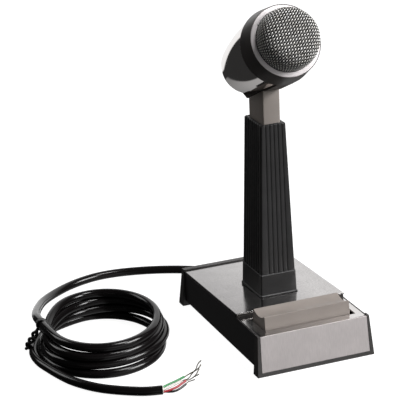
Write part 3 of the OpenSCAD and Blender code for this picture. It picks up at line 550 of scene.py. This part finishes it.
def tube_shape(path, radius, sides):
    """A round tube along a path in millimetres. radius is one number or one per point."""
    path = np.array(path, float)
    radii = np.full(len(path), radius) if np.isscalar(radius) else np.array(radius, float)
    tangents = np.gradient(path, axis=0)
    tangents /= np.linalg.norm(tangents, axis=1)[:, None]
    normal = np.cross(tangents[0], (0.0, 0.0, 1.0))
    if np.linalg.norm(normal) < 0.1:
        normal = np.cross(tangents[0], (1.0, 0.0, 0.0))
    rings = []
    for p, t, r in zip(path, tangents, radii):
        normal = normal - t * np.dot(normal, t)
        normal /= np.linalg.norm(normal)
        side = np.cross(t, normal)
        angles = np.arange(sides) * 2 * math.pi / sides
        rings.append(p + r * (np.cos(angles)[:, None] * normal + np.sin(angles)[:, None] * side))
    return skin(rings)


def tube(name, path, radius, slot, sides):
    return mesh_piece(name, *tube_shape(path, radius, sides), slot, sharp=50.0)


def spline(points, step):
    """A smooth line through the points, in steps of about the same length."""
    p = np.array(points, float)
    p = np.vstack([2 * p[0] - p[1], p, 2 * p[-1] - p[-2]])
    out = []
    for i in range(1, len(p) - 2):
        gaps = [max(1e-6, np.linalg.norm(p[i + k] - p[i + k - 1])) ** 0.5 for k in (0, 1, 2)]
        t0 = 0.0
        t1, t2, t3 = np.cumsum(gaps)
        pieces = max(2, int(np.linalg.norm(p[i + 1] - p[i]) / (0.25 * step)))
        for t in np.linspace(t1, t2, pieces, endpoint=False):
            a1 = (t1 - t) / (t1 - t0) * p[i - 1] + (t - t0) / (t1 - t0) * p[i]
            a2 = (t2 - t) / (t2 - t1) * p[i] + (t - t1) / (t2 - t1) * p[i + 1]
            a3 = (t3 - t) / (t3 - t2) * p[i + 1] + (t - t2) / (t3 - t2) * p[i + 2]
            b1 = (t2 - t) / (t2 - t0) * a1 + (t - t0) / (t2 - t0) * a2
            b2 = (t3 - t) / (t3 - t1) * a2 + (t - t1) / (t3 - t1) * a3
            out.append((t2 - t) / (t2 - t1) * b1 + (t - t1) / (t2 - t1) * b2)
    out.append(p[-2])
    out = np.array(out)
    lengths = np.concatenate([[0], np.cumsum(np.linalg.norm(np.diff(out, axis=0), axis=1))])
    count = int(lengths[-1] / step) + 1
    wanted = np.linspace(0, lengths[-1], count)
    return np.stack([np.interp(wanted, lengths, out[:, k]) for k in range(3)], axis=1)


# ---------- cable, its tie and its wires ----------

CABLE_D = 7.0
LEAD = [
    (10, 56, 14), (10, 70, 14), (10, 84, 14), (10, 96, 13.4), (10, 104, 11.5), (9.5, 110, 9),
    (7, 117, 6.5), (2, 124, 4.6), (-6, 131, 3.7), (-16, 138, 3.5), (-30, 146, 3.5),
    (-46, 153, 3.5), (-62, 158, 3.5), (-78, 161, 3.5), (-94, 161, 3.5), (-110, 157, 3.5),
    (-125, 150, 3.6), (-138, 140, 4.4), (-149, 128, 6.2), (-158, 114, 9), (-165, 99, 12.4),
    (-171, 84, 16), (-176, 69, 19.5), (-179, 55, 22.4), (-180, 40, 23.8),
]
TAIL = [
    (-166, 70, 3.5), (-181, 54, 3.5), (-190, 34, 3.5), (-191, 16, 3.5), (-188, 1, 3.5),
    (-184, -14, 3.5), (-179, -28, 3.5), (-172, -40, 3.5), (-164, -50, 3.5), (-155, -58, 3.5),
    (-145, -65, 3.5), (-135, -70.6, 3.5), (-123, -74, 3.5),
]
# Each turn of the coil from the top: centre x, centre y, short half, long half, tilt, height.
TURNS = [
    (-134.7, 25.7, 42.8, 54.3, -17.6, 24.2),
    (-133.9, 25.3, 44.1, 55.4, -31.0, 17.3),
    (-133.7, 25.6, 47.0, 55.4, -34.0, 10.4),
    (-136.0, 26.2, 47.5, 56.7, -17.0, 3.5),
]
# Angle where the turns start, and the share of a turn after which it moves on to the next.
TURN_START = 185.0
CHANGE_AT = 0.78
# The turns' slight waviness: its size, waves per radian and shift from turn to turn.
WAVE_SIZE, WAVE_RATE, WAVE_SHIFT = 0.35, 2.3, 1.1
# The coil's first point and how much of its last turn is left to the tail, in turns.
COIL_FROM, COIL_SHORT = 0.02, 0.27
TURN_POINTS = 24
CABLE_STEP = 2.4


def coil_point(turns):
    """The cable's place after that many turns from the coil's top."""
    index = min(int(turns), len(TURNS) - 1)
    share = (turns - index - CHANGE_AT) / (1 - CHANGE_AT)
    share = min(max(share, 0.0), 1.0)
    share = share * share * (3 - 2 * share)
    this = np.array(TURNS[index], float)
    below = np.array(TURNS[min(index + 1, len(TURNS) - 1)], float)
    cx, cy, short, long, tilt, z = this + (below - this) * share
    angle = math.radians(TURN_START + 360 * turns)
    off = angle - math.radians(tilt)
    r = short * long / math.hypot(long * math.cos(off), short * math.sin(off))
    wave = WAVE_SIZE * math.sin(WAVE_RATE * angle + WAVE_SHIFT * index)
    return (cx + (r + wave) * math.cos(angle), cy + (r + wave) * math.sin(angle), z)


def make_cable():
    coil = [coil_point(t) for t in np.arange(COIL_FROM, len(TURNS) - COIL_SHORT, 1 / TURN_POINTS)]
    path = spline(LEAD + coil + TAIL, CABLE_STEP)
    data = bpy.data.curves.new("cable_run", "CURVE")
    data.dimensions = "3D"
    data.bevel_depth = CABLE_D / 2 * MM
    data.bevel_resolution = 7
    data.use_fill_caps = True
    line = data.splines.new("POLY")
    line.points.add(len(path) - 1)
    for point, p in zip(line.points, path):
        point.co = (*(p * MM), 1)
    line.use_smooth = True
    cable = add_object("cable_run", data, "cable", "root")
    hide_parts("cable_lead", "cable_coil", "cable_tail")
    return cable, path


cable, cable_path = make_cable()

STRAIN_RELIEF_Y = (67.2, 97.0)
LEAD_STRAIGHT_Y = 105
# The boot from the panel outwards: its shank, its flange and its ribbed cone.
SHANK_R, SHANK_END_Y = 5.0, 77.2
FLANGE_R, FLANGE_EDGE_Y, FLANGE_END_Y, FLANGE_SLOPE = 6.4, 81.4, 82.2, 0.25
CONE_R, CONE_DROP = 5.7, 1.4
RIB_START_Y, RIB_PITCH, RIB_GAP, RIB_DEPTH = 83.2, 3.0, 1.1, 0.45


def make_strain_relief():
    """A rubber boot that follows the cable, with a flange at the panel and ribs along its cone."""
    low, high = STRAIN_RELIEF_Y
    run = spline([p for p in LEAD if p[1] < LEAD_STRAIGHT_Y and p[0] == 10], 0.35)
    run = np.array([p for p in run if low <= p[1] <= high])
    radii = []
    for y in run[:, 1]:
        if y < SHANK_END_Y:
            r = SHANK_R
        elif y < FLANGE_END_Y:
            r = FLANGE_R - FLANGE_SLOPE * max(0.0, y - FLANGE_EDGE_Y)
        else:
            r = CONE_R - CONE_DROP * (y - FLANGE_END_Y) / (high - FLANGE_END_Y)
            r -= RIB_DEPTH if (y - RIB_START_Y) % RIB_PITCH < RIB_GAP else 0.0
        radii.append(r)
    boot = tube("strain_relief_made", run, radii, "rubber", sides=32)
    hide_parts("strain_relief")
    return boot


TIE_ANGLE = 163.0
TIE_WIDTH = 5.0
TIE_THICK = 0.9
TIE_LOW_Z = 15.0
TIE_LEAST_R = 30
TIE_GAP = 0.15
# The twisted end's place: distance from the coil's centre, and height.
TIE_END = [(51.2, 19.4), (53.8, 15.2), (56.4, 11.2), (59.2, 7.6), (60.4, 3.2)]
# The two twisted ends: radius, turns, least and added distance apart, and how one opens out.
TWIST_R, TWIST_TURNS, TWIST_APART, TWIST_BULGE = 1.3, 1.7, 0.5, 1.2
TWIST_OPENS_AT, TWIST_OPENS_BY = 0.85, 3.5


def hull(points):
    """Convex outline, anticlockwise."""
    pts = sorted(set(map(tuple, points)))

    def half(seq):
        out = []
        for p in seq:
            while len(out) > 1 and (
                (out[-1][0] - out[-2][0]) * (p[1] - out[-2][1])
                - (out[-1][1] - out[-2][1]) * (p[0] - out[-2][0])
            ) <= 0:
                out.pop()
            out.append(p)
        return out[:-1]

    return half(pts) + half(pts[::-1])


def make_tie(path):
    """A flat binding strip round the turns where the lead joins them, and its twisted end."""
    centre = np.array(TURNS[0][:2])
    angle = math.radians(TIE_ANGLE)
    out = np.array([math.cos(angle), math.sin(angle)])
    along = np.array([-out[1], out[0]])
    flat = path[:, :2] - centre
    side = flat @ along
    circles = []
    for i in range(len(path) - 1):
        if side[i] * side[i + 1] <= 0 and flat[i] @ out > TIE_LEAST_R and path[i, 2] > TIE_LOW_Z:
            circles.append((flat[i] @ out, path[i, 2]))
    reach = CABLE_D / 2 + TIE_GAP
    steps = np.linspace(0, 2 * math.pi, 48, endpoint=False)
    around = np.array(hull([
        (round(r + reach * math.cos(t), 4), round(z + reach * math.sin(t), 4))
        for r, z in circles for t in steps
    ]))
    middle = around.mean(axis=0)
    points = []
    for r, z in around:
        push = np.array([r, z]) - middle
        push /= np.linalg.norm(push)
        for w, t in ((-1, 0), (1, 0), (1, 1), (-1, 1)):
            rr, zz = np.array([r, z]) + push * TIE_THICK * t
            place = centre + out * rr + along * w * TIE_WIDTH / 2
            points.append((place[0], place[1], zz))
    count = len(around)
    faces = []
    for i in range(count):
        n = (i + 1) % count
        for k in range(4):
            m = (k + 1) % 4
            faces.append((4 * i + k, 4 * i + m, 4 * n + m, 4 * n + k))
    strip = mesh_piece("coil_tie_made", points, faces, "tie", bevel=0.2)
    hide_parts("coil_tie")
    knots = []
    hang = spline([(*(centre + out * r), z) for r, z in TIE_END], 0.4)
    share = np.linspace(0, 1, len(hang))
    for k, phase in enumerate((0.0, math.pi)):
        turn = 2 * math.pi * TWIST_TURNS * share ** 1.3 + phase
        twist = TWIST_APART + TWIST_BULGE * np.sin(math.pi * share ** 0.8)
        twist += TWIST_OPENS_BY * k * (share - TWIST_OPENS_AT).clip(0)
        run = hang + np.outer(twist * np.cos(turn), (*along, 0)) + np.outer(
            twist * np.sin(turn), (*(out * 0.8), 0.6))
        run[:, 2] = run[:, 2].clip(TWIST_R)
        knots.append(tube_shape(run, TWIST_R, 12))
    return [strip, joined("coil_tie_twist", knots, "tie")]


# Routes of the four conductors, which part.scad repeats.
WIRE_R = 0.85
WIRES = {
    "wire_green": [(-123, -73.4, 5.1), (-120.3, -72.3, 5.3), (-117.3, -71.4, 5.6),
                   (-113.8, -70.4, 5.9), (-110.2, -69.4, 6.2), (-102.6, -66.6, 6.8)],
    "wire_white": [(-123.4, -74.9, 4.1), (-121, -74.4, 4.2), (-118, -73.8, 4.4),
                   (-112.3, -72, 4.9), (-105.8, -69.8, 5.6)],
    "wire_red": [(-123.4, -75, 2.2), (-121.2, -75.3, 2.4), (-117.8, -75.4, 2.8),
                 (-111.9, -74.2, 3.4), (-107, -72, 4.2), (-102.9, -70.4, 5.2)],
    "wire_black": [(-122.8, -73.2, 2.4), (-120.5, -73.6, 1.4), (-118, -74.2, 1),
                   (-114.3, -75, 0.95), (-109.5, -74.2, 1.5), (-103.2, -71.2, 2.8)],
}
# Bare conductors, fanned out from the insulation's ends.
STRANDS = {
    "wire_green": [
        [(-104, -67, 6.7), (-102, -66.4, 6.8), (-97.2, -65.3, 8), (-93.3, -65, 9.2),
         (-88, -58.6, 11.2), (-84.8, -57, 12.6)],
        [(-104, -67.1, 6.7), (-102, -66.6, 6.8), (-97, -65.6, 8), (-93, -65.2, 9.1),
         (-90, -64, 10), (-86.6, -60.8, 11)],
    ],
    "wire_white": [
        [(-107, -70.2, 5.5), (-104, -69.6, 5.7), (-101.5, -69.6, 5.9), (-99.1, -68.6, 6.5),
         (-96.7, -66.6, 7.6), (-93.4, -65.4, 9.5)],
    ],
    "wire_red": [
        [(-104.4, -71, 4.9), (-102.2, -70.2, 5.3), (-99.9, -70.3, 5.5), (-95.1, -69.3, 7),
         (-92.3, -67.1, 8.2), (-89.4, -64, 9.6)],
        [(-104.4, -71.1, 4.9), (-102.2, -70.3, 5.2), (-99.7, -69.9, 5.3), (-95.1, -69.2, 6.5),
         (-91.5, -69, 7.6)],
    ],
    "wire_black": [
        [(-104.6, -71.8, 2.5), (-102.9, -70.9, 2.9), (-100.4, -69.6, 3.6), (-97.5, -69.5, 3.8),
         (-95.3, -69.4, 4.2)],
    ],
}
STRAND_R = 0.20
STRAND_TWIST = 0.23
STRAND_COUNT = 3
STRAND_TURNS_PER_MM = 0.22
STRAND_STEP = 0.5
STRAND_FRAY = 0.8


def twisted(route):
    """A few thin wires twisted about one route, spreading a little towards its end."""
    run = spline(route, STRAND_STEP)
    tangents = np.gradient(run, axis=0)
    tangents /= np.linalg.norm(tangents, axis=1)[:, None]
    side = np.cross(tangents, (0, 0, 1.0))
    side /= np.linalg.norm(side, axis=1)[:, None]
    up = np.cross(side, tangents)
    turn = 2 * math.pi * STRAND_TURNS_PER_MM * STRAND_STEP * np.arange(len(run))
    shapes = []
    for k in range(STRAND_COUNT):
        a = turn + 2 * math.pi * k / STRAND_COUNT
        spread = STRAND_TWIST * (1 + STRAND_FRAY * np.linspace(0, 1, len(run)) ** 3)
        off = np.cos(a)[:, None] * side + np.sin(a)[:, None] * up
        shapes.append(tube_shape(run + off * spread[:, None], STRAND_R, 6))
    return shapes


def make_wires():
    made = []
    for name, route in WIRES.items():
        wire = tube(name + "_made", spline(route, 1.2), WIRE_R, name, sides=16)
        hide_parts(name)
        made.append(wire)
        shapes = [shape for strand in STRANDS[name] for shape in twisted(strand)]
        made.append(joined(name + "_strands", shapes, "tinned"))
    return made


# The lining's section: distance past the jacket's end, and radius.
FILLER = [(-1.0, 2.9), (0.0, 2.9), (0.5, 2.7), (0.7, 2.2)]


def make_filler():
    """The pale paper lining that shows round the wires at the jacket's cut end."""
    end, before = np.array(TAIL[-1]), np.array(TAIL[-2])
    along = (end - before) / np.linalg.norm(end - before)
    line = [end + along * t for t, _ in FILLER]
    return tube("cable_filler", line, [r for _, r in FILLER], "wire_white", sides=24)


boot = make_strain_relief()
tie_pieces = make_tie(cable_path)
wire_pieces = make_wires()
make_filler()

# ---------- head ----------

HEAD_AT = np.array((0.0, -38.6, 246.4))
HEAD_TILT = math.radians(27)
HEAD_UP = np.array((0.0, math.sin(HEAD_TILT), math.cos(HEAD_TILT)))
HEAD_AXIS = np.array((0.0, -math.cos(HEAD_TILT), math.sin(HEAD_TILT)))
GRILLE_R = 23.6
GRILLE_H = 19.6
GRILLE_POWER = 3.7
GRILLE_FOOT = -2.6
WIRE_PITCH = 1.72
MESH_WIRE_R = 0.44
MESH_SIDES = 8
MESH_CORNERS = np.arange(MESH_SIDES) * 2 * math.pi / MESH_SIDES
# Points along a mesh wire in each pitch, and the share of its radius by which it waves.
PITCH_POINTS, MESH_LIFT = 4, 0.9
MESH_TURN = math.radians(45)
# Painted highlight: where a wire's crest begins to be painted bright, how fast, and the share of it
# that the second family has.
CREST_START, CREST_SPAN, SECOND_SHARE = 0.5, 1.1, 0.12
# Painted shade near the ring: height above the ring at which the painted highlight begins, and over
# how much height it grows.
SHINE_FOOT, SHINE_RISE = 0.8, 1.8
FOAM_GAP, FOAM_WALL = 1.5, 2.4
BAND_LEN = 17.5
# Sections of the head's turned parts, as radius and place along the axis, and their roundings.
RIM = [(22.5, -2.7), (24.7, -2.7), (24.7, -1.75), (23.7, -1.75), (23.7, -0.5), (23.1, -0.5),
       (23.1, -1.9), (22.5, -1.9)]
RING = [(23.85, -1.6), (27.5, -1.6), (27.5, -0.25), (27.1, 0.05), (24.6, 0.95), (23.85, 0.6)]
RING_ROUND = [0.1, 0.1, 0.25, 0.5, 0.45, 0.35]
BAND = [(27.58, -2.1), (27.58, 0.1), (27.95, 0.1), (28.0, -0.5), (29.9, -BAND_LEN + 0.3),
        (29.75, -BAND_LEN), (26.9, -BAND_LEN), (26.9, -21.5), (25.7, -21.5), (24.9, -4.6),
        (24.9, -2.1)]
BAND_ROUND = [0.05, 0.15, 0.12, 0.3, 0.3, 0.1, 0.1, 0.1, 0.1, 0.1, 0.05]
# The shell is a cone that bulges, closed by a rounded cap on three more control points.
SHELL_R, SHELL_TAPER, SHELL_TAPER_LEN, SHELL_BULGE = 29.0, 7.7, 68.8, 1.5
SHELL_LIP, SHELL_LIP_LEN, SHELL_WALL = 0.25, 0.3, 1.5
SHELL_STRAIGHT_FROM, SHELL_STRAIGHT_TO = -22, -82.3
SHELL_CAP = [(20.3, -91.6), (13.6, -94.4), (0.0, -94.4)]
SHELL_INNER_END = -92.8
HEAD_TURNS = 192


def on_head(p):
    return HEAD_AT + np.array((1.0, 0, 0)) * p[0] + HEAD_UP * p[1] + HEAD_AXIS * p[2]


def dome_profile(r, h, foot):
    """Radius, height and arc length of the dome's section, from its tip to its foot."""
    t = np.linspace(0, 1, 400)
    z = h * np.cos(t * math.pi / 2)
    rr = r * (1 - (z / h) ** GRILLE_POWER).clip(0) ** (1 / GRILLE_POWER)
    rr = np.append(rr, r)
    z = np.append(z, foot)
    arc = np.concatenate([[0], np.cumsum(np.hypot(np.diff(rr), np.diff(z)))])
    return rr, z, arc


def on_dome(x, y, dome):
    """Places on the dome, from places on its skin laid flat, and its normals there."""
    rr, zz, arc = dome
    s = np.hypot(x, y)
    radius = np.interp(s, arc, rr)
    height = np.interp(s, arc, zz)
    ahead = np.interp(s + 0.2, arc, rr), np.interp(s + 0.2, arc, zz)
    behind = np.interp(s - 0.2, arc, rr), np.interp(s - 0.2, arc, zz)
    slope = np.stack([ahead[0] - behind[0], ahead[1] - behind[1]], 1)
    slope /= np.linalg.norm(slope, axis=1)[:, None]
    cosine, sine = x / np.maximum(s, 1e-6), y / np.maximum(s, 1e-6)
    normal = np.stack([-slope[:, 1] * cosine, -slope[:, 1] * sine, slope[:, 0]], 1)
    return np.stack([radius * cosine, radius * sine, height], 1), normal


def mesh_wire(family, j, dome):
    """One wire of the weave: its points, ring by ring, and how much painted highlight each of them
    gets.
    """
    level = (j + 0.5) * WIRE_PITCH
    half = math.sqrt(dome[2][-1] ** 2 - level ** 2)
    count = max(6, int(2 * half / (WIRE_PITCH / PITCH_POINTS)))
    u = np.linspace(-half, half, count)
    v = np.full(count, level)
    over = np.cos(math.pi * (u / WIRE_PITCH - 0.5) + math.pi * j)
    if family == 1:
        over, u, v = -over, v, u
    x = u * math.cos(MESH_TURN) - v * math.sin(MESH_TURN)
    y = u * math.sin(MESH_TURN) + v * math.cos(MESH_TURN)
    place, normal = on_dome(x, y, dome)
    lift = over * MESH_WIRE_R * MESH_LIFT
    line = place + normal * lift[:, None]
    tangent = np.gradient(line, axis=0)
    tangent /= np.linalg.norm(tangent, axis=1)[:, None]
    across = np.cross(tangent, normal)
    across /= np.linalg.norm(across, axis=1)[:, None]
    upward = np.cross(across, tangent)
    # Painted highlight on the crests, weaker on the second family, fading into painted shade near
    # the ring.
    crest = ((over + CREST_START) / CREST_SPAN).clip(0, 1) * (1.0 if family == 0 else SECOND_SHARE)
    crest *= ((place[:, 2] - SHINE_FOOT) / SHINE_RISE).clip(0, 1)
    points, painted_sheen = [], []
    for k in range(count):
        for c in MESH_CORNERS:
            # Painted highlight on the wire's outer side, painted shade on its sides and underside.
            painted_sheen.append(crest[k] * max(0.0, math.cos(c)) ** 0.7)
            q = line[k] + MESH_WIRE_R * (math.cos(c) * upward[k] + math.sin(c) * across[k])
            points.append(on_head(q))
    return points, painted_sheen


def make_grille():
    """Plain woven wire, laid at 45 degrees and drawn over the dome."""
    dome = dome_profile(GRILLE_R - MESH_WIRE_R, GRILLE_H - MESH_WIRE_R, GRILLE_FOOT)
    far = dome[2][-1]
    wires = int(far / WIRE_PITCH)
    points, faces, painted_sheen = [], [], []
    for family in (0, 1):
        for j in range(-wires, wires + 1):
            if abs((j + 0.5) * WIRE_PITCH) >= far:
                continue
            first = len(points)
            wire_points, wire_sheen = mesh_wire(family, j, dome)
            points += wire_points
            painted_sheen += wire_sheen
            for k in range(len(wire_points) // MESH_SIDES - 1):
                for c in range(MESH_SIDES):
                    a = first + k * MESH_SIDES + c
                    b = first + k * MESH_SIDES + (c + 1) % MESH_SIDES
                    faces.append((a, b, b + MESH_SIDES, a + MESH_SIDES))
    weave = mesh_piece("grille_weave", points, faces, "wire_mesh", "head", 180.0)
    # The painted highlight and shade, one value per point.
    attribute = weave.data.attributes.new("painted_sheen", "FLOAT", "POINT")
    attribute.data.foreach_set("value", painted_sheen)
    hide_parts("grille")


def make_foam():
    rr, zz, _ = dome_profile(GRILLE_R - FOAM_GAP, GRILLE_H - FOAM_GAP, GRILLE_FOOT + 0.2)
    outer = list(zip(rr[::8], zz[::8])) + [(rr[-1], zz[-1])]
    inner = [(max(r - FOAM_WALL, 0), z - FOAM_WALL) for r, z in outer]
    inner[-1] = (outer[-1][0] - FOAM_WALL, outer[-1][1])
    foam = lathe("foam_liner", outer + inner[::-1], on_head, "foam", "head", 60.0)
    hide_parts("wind_foam")


def shell_r(s):
    """Radius of the shell at a place along the head's axis."""
    share = (-s - BAND_LEN) / SHELL_TAPER_LEN
    return SHELL_R - SHELL_TAPER * share + SHELL_BULGE * math.sin(math.pi * share)


def make_shell():
    start = -BAND_LEN - 0.05
    lip_end = -BAND_LEN - SHELL_LIP_LEN
    outer = [(shell_r(start) - SHELL_LIP, start), (shell_r(lip_end), lip_end)]
    outer += [(shell_r(s), s) for s in np.linspace(SHELL_STRAIGHT_FROM, SHELL_STRAIGHT_TO, 24)]
    p0 = np.array((shell_r(SHELL_STRAIGHT_TO), SHELL_STRAIGHT_TO))
    p1, p2, p3 = (np.array(p) for p in SHELL_CAP)
    for t in np.linspace(0, 1, 33)[1:]:
        outer.append(tuple(
            (1 - t) ** 3 * p0 + 3 * t * (1 - t) ** 2 * p1 + 3 * t * t * (1 - t) * p2 + t ** 3 * p3))
    inner = [(max(r - SHELL_WALL, 0.0), max(s, SHELL_INNER_END)) for r, s in outer]
    shell = lathe(
        "rear_shell_made", outer + inner[::-1], on_head, "chrome", "head", 25.0, HEAD_TURNS)
    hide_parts("rear_shell")


def make_head():
    make_grille()
    rim = lathe("grille_rim", rounded(RIM, 0.2, 3), on_head, "grille_rim", "head", 40.0)
    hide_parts("grille")
    make_foam()
    ring = lathe("front_ring_made", rounded(RING, RING_ROUND, 5), on_head, "silver_ring", "head",
                 25.0, HEAD_TURNS)
    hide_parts("front_ring")
    band = lathe("head_band_made", rounded(BAND, BAND_ROUND, 4), on_head, "band", "head", 25.0,
                 HEAD_TURNS)
    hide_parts("head_band")
    make_shell()


NECK_X, NECK_Y = 7.2, 13.7
COLUMN_Y = 4.8
NECK_TOP_Z = 201.4
NECK_SLOPE = math.tan(math.radians(25))
NECK_FOOT_Z = 92.0
NECK_CORNER = 1.1
# Inset of each ring of the neck, and its drop below the slanted top, or None at the foot.
NECK_RINGS = [(0.0, None), (0.0, 0.4), (0.12, 0.12), (0.4, 0.0)]
# The saddle's side outline: distance back along the head's axis, and height from it.
SADDLE = [(17.9, -29.2), (46.6, -27.8), (77.6, -28.2), (88, -19), (88, -12), (17.9, -12)]
SADDLE_STEPS = 12
SADDLE_GAP = 0.1


def rounded_rect(hx, hy, radius, steps=6):
    return rounded([(-hx, -hy), (hx, -hy), (hx, hy), (-hx, hy)], radius, steps)


def neck_top(y, drop=0.0):
    return NECK_TOP_Z - drop - (y - (COLUMN_Y - NECK_Y)) * NECK_SLOPE


def make_neck():
    rings = []
    for inset, drop in NECK_RINGS:
        ring = []
        for x, y in rounded_rect(NECK_X - inset, NECK_Y - inset, NECK_CORNER):
            y += COLUMN_Y
            ring.append((x, y, NECK_FOOT_Z if drop is None else neck_top(y, drop)))
        rings.append(ring)
    neck = loft("neck_made", rings, "neck", "head", 40.0)
    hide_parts("neck_tube")


def make_saddle():
    """The moulding between neck and shell: it runs forward under the shell to the band."""
    side = []
    for i, corner in enumerate(SADDLE):
        after = SADDLE[(i + 1) % len(SADDLE)]
        for t in np.linspace(0, 1, SADDLE_STEPS, endpoint=False):
            back, up = np.array(corner) * (1 - t) + np.array(after) * t
            p = HEAD_AT + HEAD_UP * up - HEAD_AXIS * back
            floor = neck_top(max(p[1], COLUMN_Y - NECK_Y), -SADDLE_GAP)
            side.append((p[1], max(p[2], floor)))
    saddle = prism_across("head_saddle_made", side, NECK_X, "saddle", 0.5, "head")
    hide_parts("head_saddle")


make_head()
make_neck()
make_saddle()

# ---------- column ----------

COLUMN_TOP_Z = 174.4
PLATE_SLOPE = 3.5 / 104.8
PLATE_REAR_Z, PLATE_REAR_Y = 31.4, 70.8
COLLAR_TOP_Z = 52.6
# Half widths of the sleeve at the plate and at its top, and the pitch of its grooves there.
FOOT_X, FOOT_Y, TOP_X, TOP_Y = 15.2, 18.7, 10.4, 16.5
PITCH_X, PITCH_X_LOSS, PITCH_Y, PITCH_Y_LOSS = 4.1, 0.7, 4.3, 0.5
GROOVES_X, GROOVES_Y = 5, 7
GROOVE_DEPTH = 0.40
SLEEVE_CORNER = 1.3
# The sleeve's inner edge and the bush: half widths, depth below the top, and point pitches.
MOUTH = [(8.0, 14.5, 0.0, 2.6, 3.3), (7.7, 14.2, 0.5, 2.5, 3.3), (7.7, 14.2, 4.0, 2.5, 3.3)]
BUSH = [(7.65, 14.15, 4.3, 2.5, 3.3), (7.65, 14.15, 0.6, 2.5, 3.3),
        (7.3, 13.8, 0.6, 2.4, 3.2), (7.3, 13.8, 4.3, 2.4, 3.2)]
# One groove's section: place across it, and share of its depth.
GROOVE = [(-0.78, 0), (-0.62, 0.14), (-0.44, 0.6), (-0.22, 1), (0.22, 1), (0.44, 0.6), (0.62, 0.14),
          (0.78, 0)]


def plate_z(y):
    return PLATE_REAR_Z + (PLATE_REAR_Y - y) * PLATE_SLOPE


def column_ring(hx, hy, z, pitch_x, pitch_y, depth, corner):
    """Outline of the sleeve at one height. z is a height or a function of y."""
    out = []
    for side in range(4):
        half, other = (hx, hy) if side % 2 == 0 else (hy, hx)
        pitch, grooves = (pitch_x, GROOVES_X) if side % 2 == 0 else (pitch_y, GROOVES_Y)
        line = []
        for t in np.linspace(-math.pi / 4, 0, 4):
            v = other - corner + corner * math.cos(t)
            line.append((-half + corner + corner * math.sin(t), v))
        for i in range(grooves):
            mid = (i - (grooves - 1) / 2) * pitch
            line += [(mid + u, other - depth * d) for u, d in GROOVE]
        for t in np.linspace(0, math.pi / 4, 4)[:-1]:
            v = other - corner + corner * math.cos(t)
            line.append((half - corner + corner * math.sin(t), v))
        turn = -math.pi / 2 * side
        for u, v in line:
            x = u * math.cos(turn) - v * math.sin(turn)
            out.append((x, u * math.sin(turn) + v * math.cos(turn)))
    ring = []
    for x, y in out:
        y += COLUMN_Y
        ring.append((x, y, z(y) if callable(z) else z))
    return ring


def inner_rings(rows):
    return [column_ring(hx, hy, COLUMN_TOP_Z - depth, pitch_x, pitch_y, 0, 1.0)
            for hx, hy, depth, pitch_x, pitch_y in rows]


def make_column():
    foot = plate_z(COLUMN_Y)
    span = COLUMN_TOP_Z - foot

    def at(z, out, groove=0.0, low=None):
        share = (z - foot) / span
        hx = FOOT_X + (TOP_X - FOOT_X) * share + out
        hy = FOOT_Y + (TOP_Y - FOOT_Y) * share + out
        pitch_x, pitch_y = PITCH_X - PITCH_X_LOSS * share, PITCH_Y - PITCH_Y_LOSS * share
        return column_ring(hx, hy, low or z, pitch_x, pitch_y, groove, SLEEVE_CORNER)

    rings = [
        at(foot, 0.75, low=lambda y: plate_z(y) + 0.06),
        at(foot, 1.0, low=lambda y: plate_z(y) + 0.35),
        at(foot + 1.4, 1.0), at(foot + 2.0, 0.45), at(foot + 3.0, 0.42),
        at(COLLAR_TOP_Z - 0.62, 0.42), at(COLLAR_TOP_Z - 0.1, 0.0),
        at(COLLAR_TOP_Z, 0.0, GROOVE_DEPTH), at(COLLAR_TOP_Z + 0.4, 0.0, GROOVE_DEPTH),
        at(COLUMN_TOP_Z - 0.85, 0.0, GROOVE_DEPTH), at(COLUMN_TOP_Z - 0.1, -0.72, GROOVE_DEPTH),
        at(COLUMN_TOP_Z, -1.05, 0.2),
    ]
    column = loft(
        "column_made", rings + inner_rings(MOUTH), "column", "root", 32.0, caps=False)
    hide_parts("column_shell")
    bush = loft("column_bush_made", inner_rings(BUSH), "column", "root", 32.0, caps=False)
    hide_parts("column_bush")


make_column()

# ---------- base ----------

PLATE_FRONT_Y = -34.0
DECK_Z = 31.3
SIDE_X = 46.1
# The sheet's thickness and how far it stands past the riser, and the riser's place and thickness.
SHEET_THICK, SHEET_OVERHANG = 1.5, 1.7
RISER_BACK, RISER_THICK, RISER_GAP, RISER_TOP_GAP = 0.35, 1.1, 0.12, 1.15
# Widths of the rounded edges of CAD nodes shown as they are.
SOFT_EDGES = {
    "base_shell": 0.3, "switch_deck": 0.2, "front_bezel": 0.35, "front_panel": 0.2,
    "rear_bezel": 0.35, "rear_panel": 0.2, "ptt_bar": 0.45, "bottom_plate": 0.2,
}


def make_top_plate():
    """The sloping sheet, and under its front edge a riser painted near black, as painted shade."""
    rear, front = PLATE_REAR_Y, PLATE_FRONT_Y - SHEET_OVERHANG
    sheet = rounded(
        [(rear, plate_z(rear) - SHEET_THICK), (rear, plate_z(rear)),
         (front, plate_z(front) - 0.1), (front, plate_z(front) - 1.1),
         (front + 1.0, plate_z(front) - SHEET_THICK)],
        [0.3, 0.3, 0.2, 0.2, 0.2], 5)
    plate = prism_across("top_plate_made", sheet, SIDE_X, "speckled_plate", bevel=0.25)
    # Painted shade: the strip under the sheet's front edge is painted near black.
    face = front + RISER_BACK
    back = face + RISER_THICK
    low, high = DECK_Z + RISER_GAP, plate_z(front) - RISER_TOP_GAP
    section = rounded([(face, low), (face, high), (back, high), (back, low)], 0.05, 2)
    painted_shade_riser = prism_across("plate_riser", section, SIDE_X - RISER_BACK, "painted_shade_riser", bevel=0.05)
    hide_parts("top_plate")
    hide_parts("top_plate")


make_top_plate()
for made_node, edge in SOFT_EDGES.items():
    softened(made_node, edge)
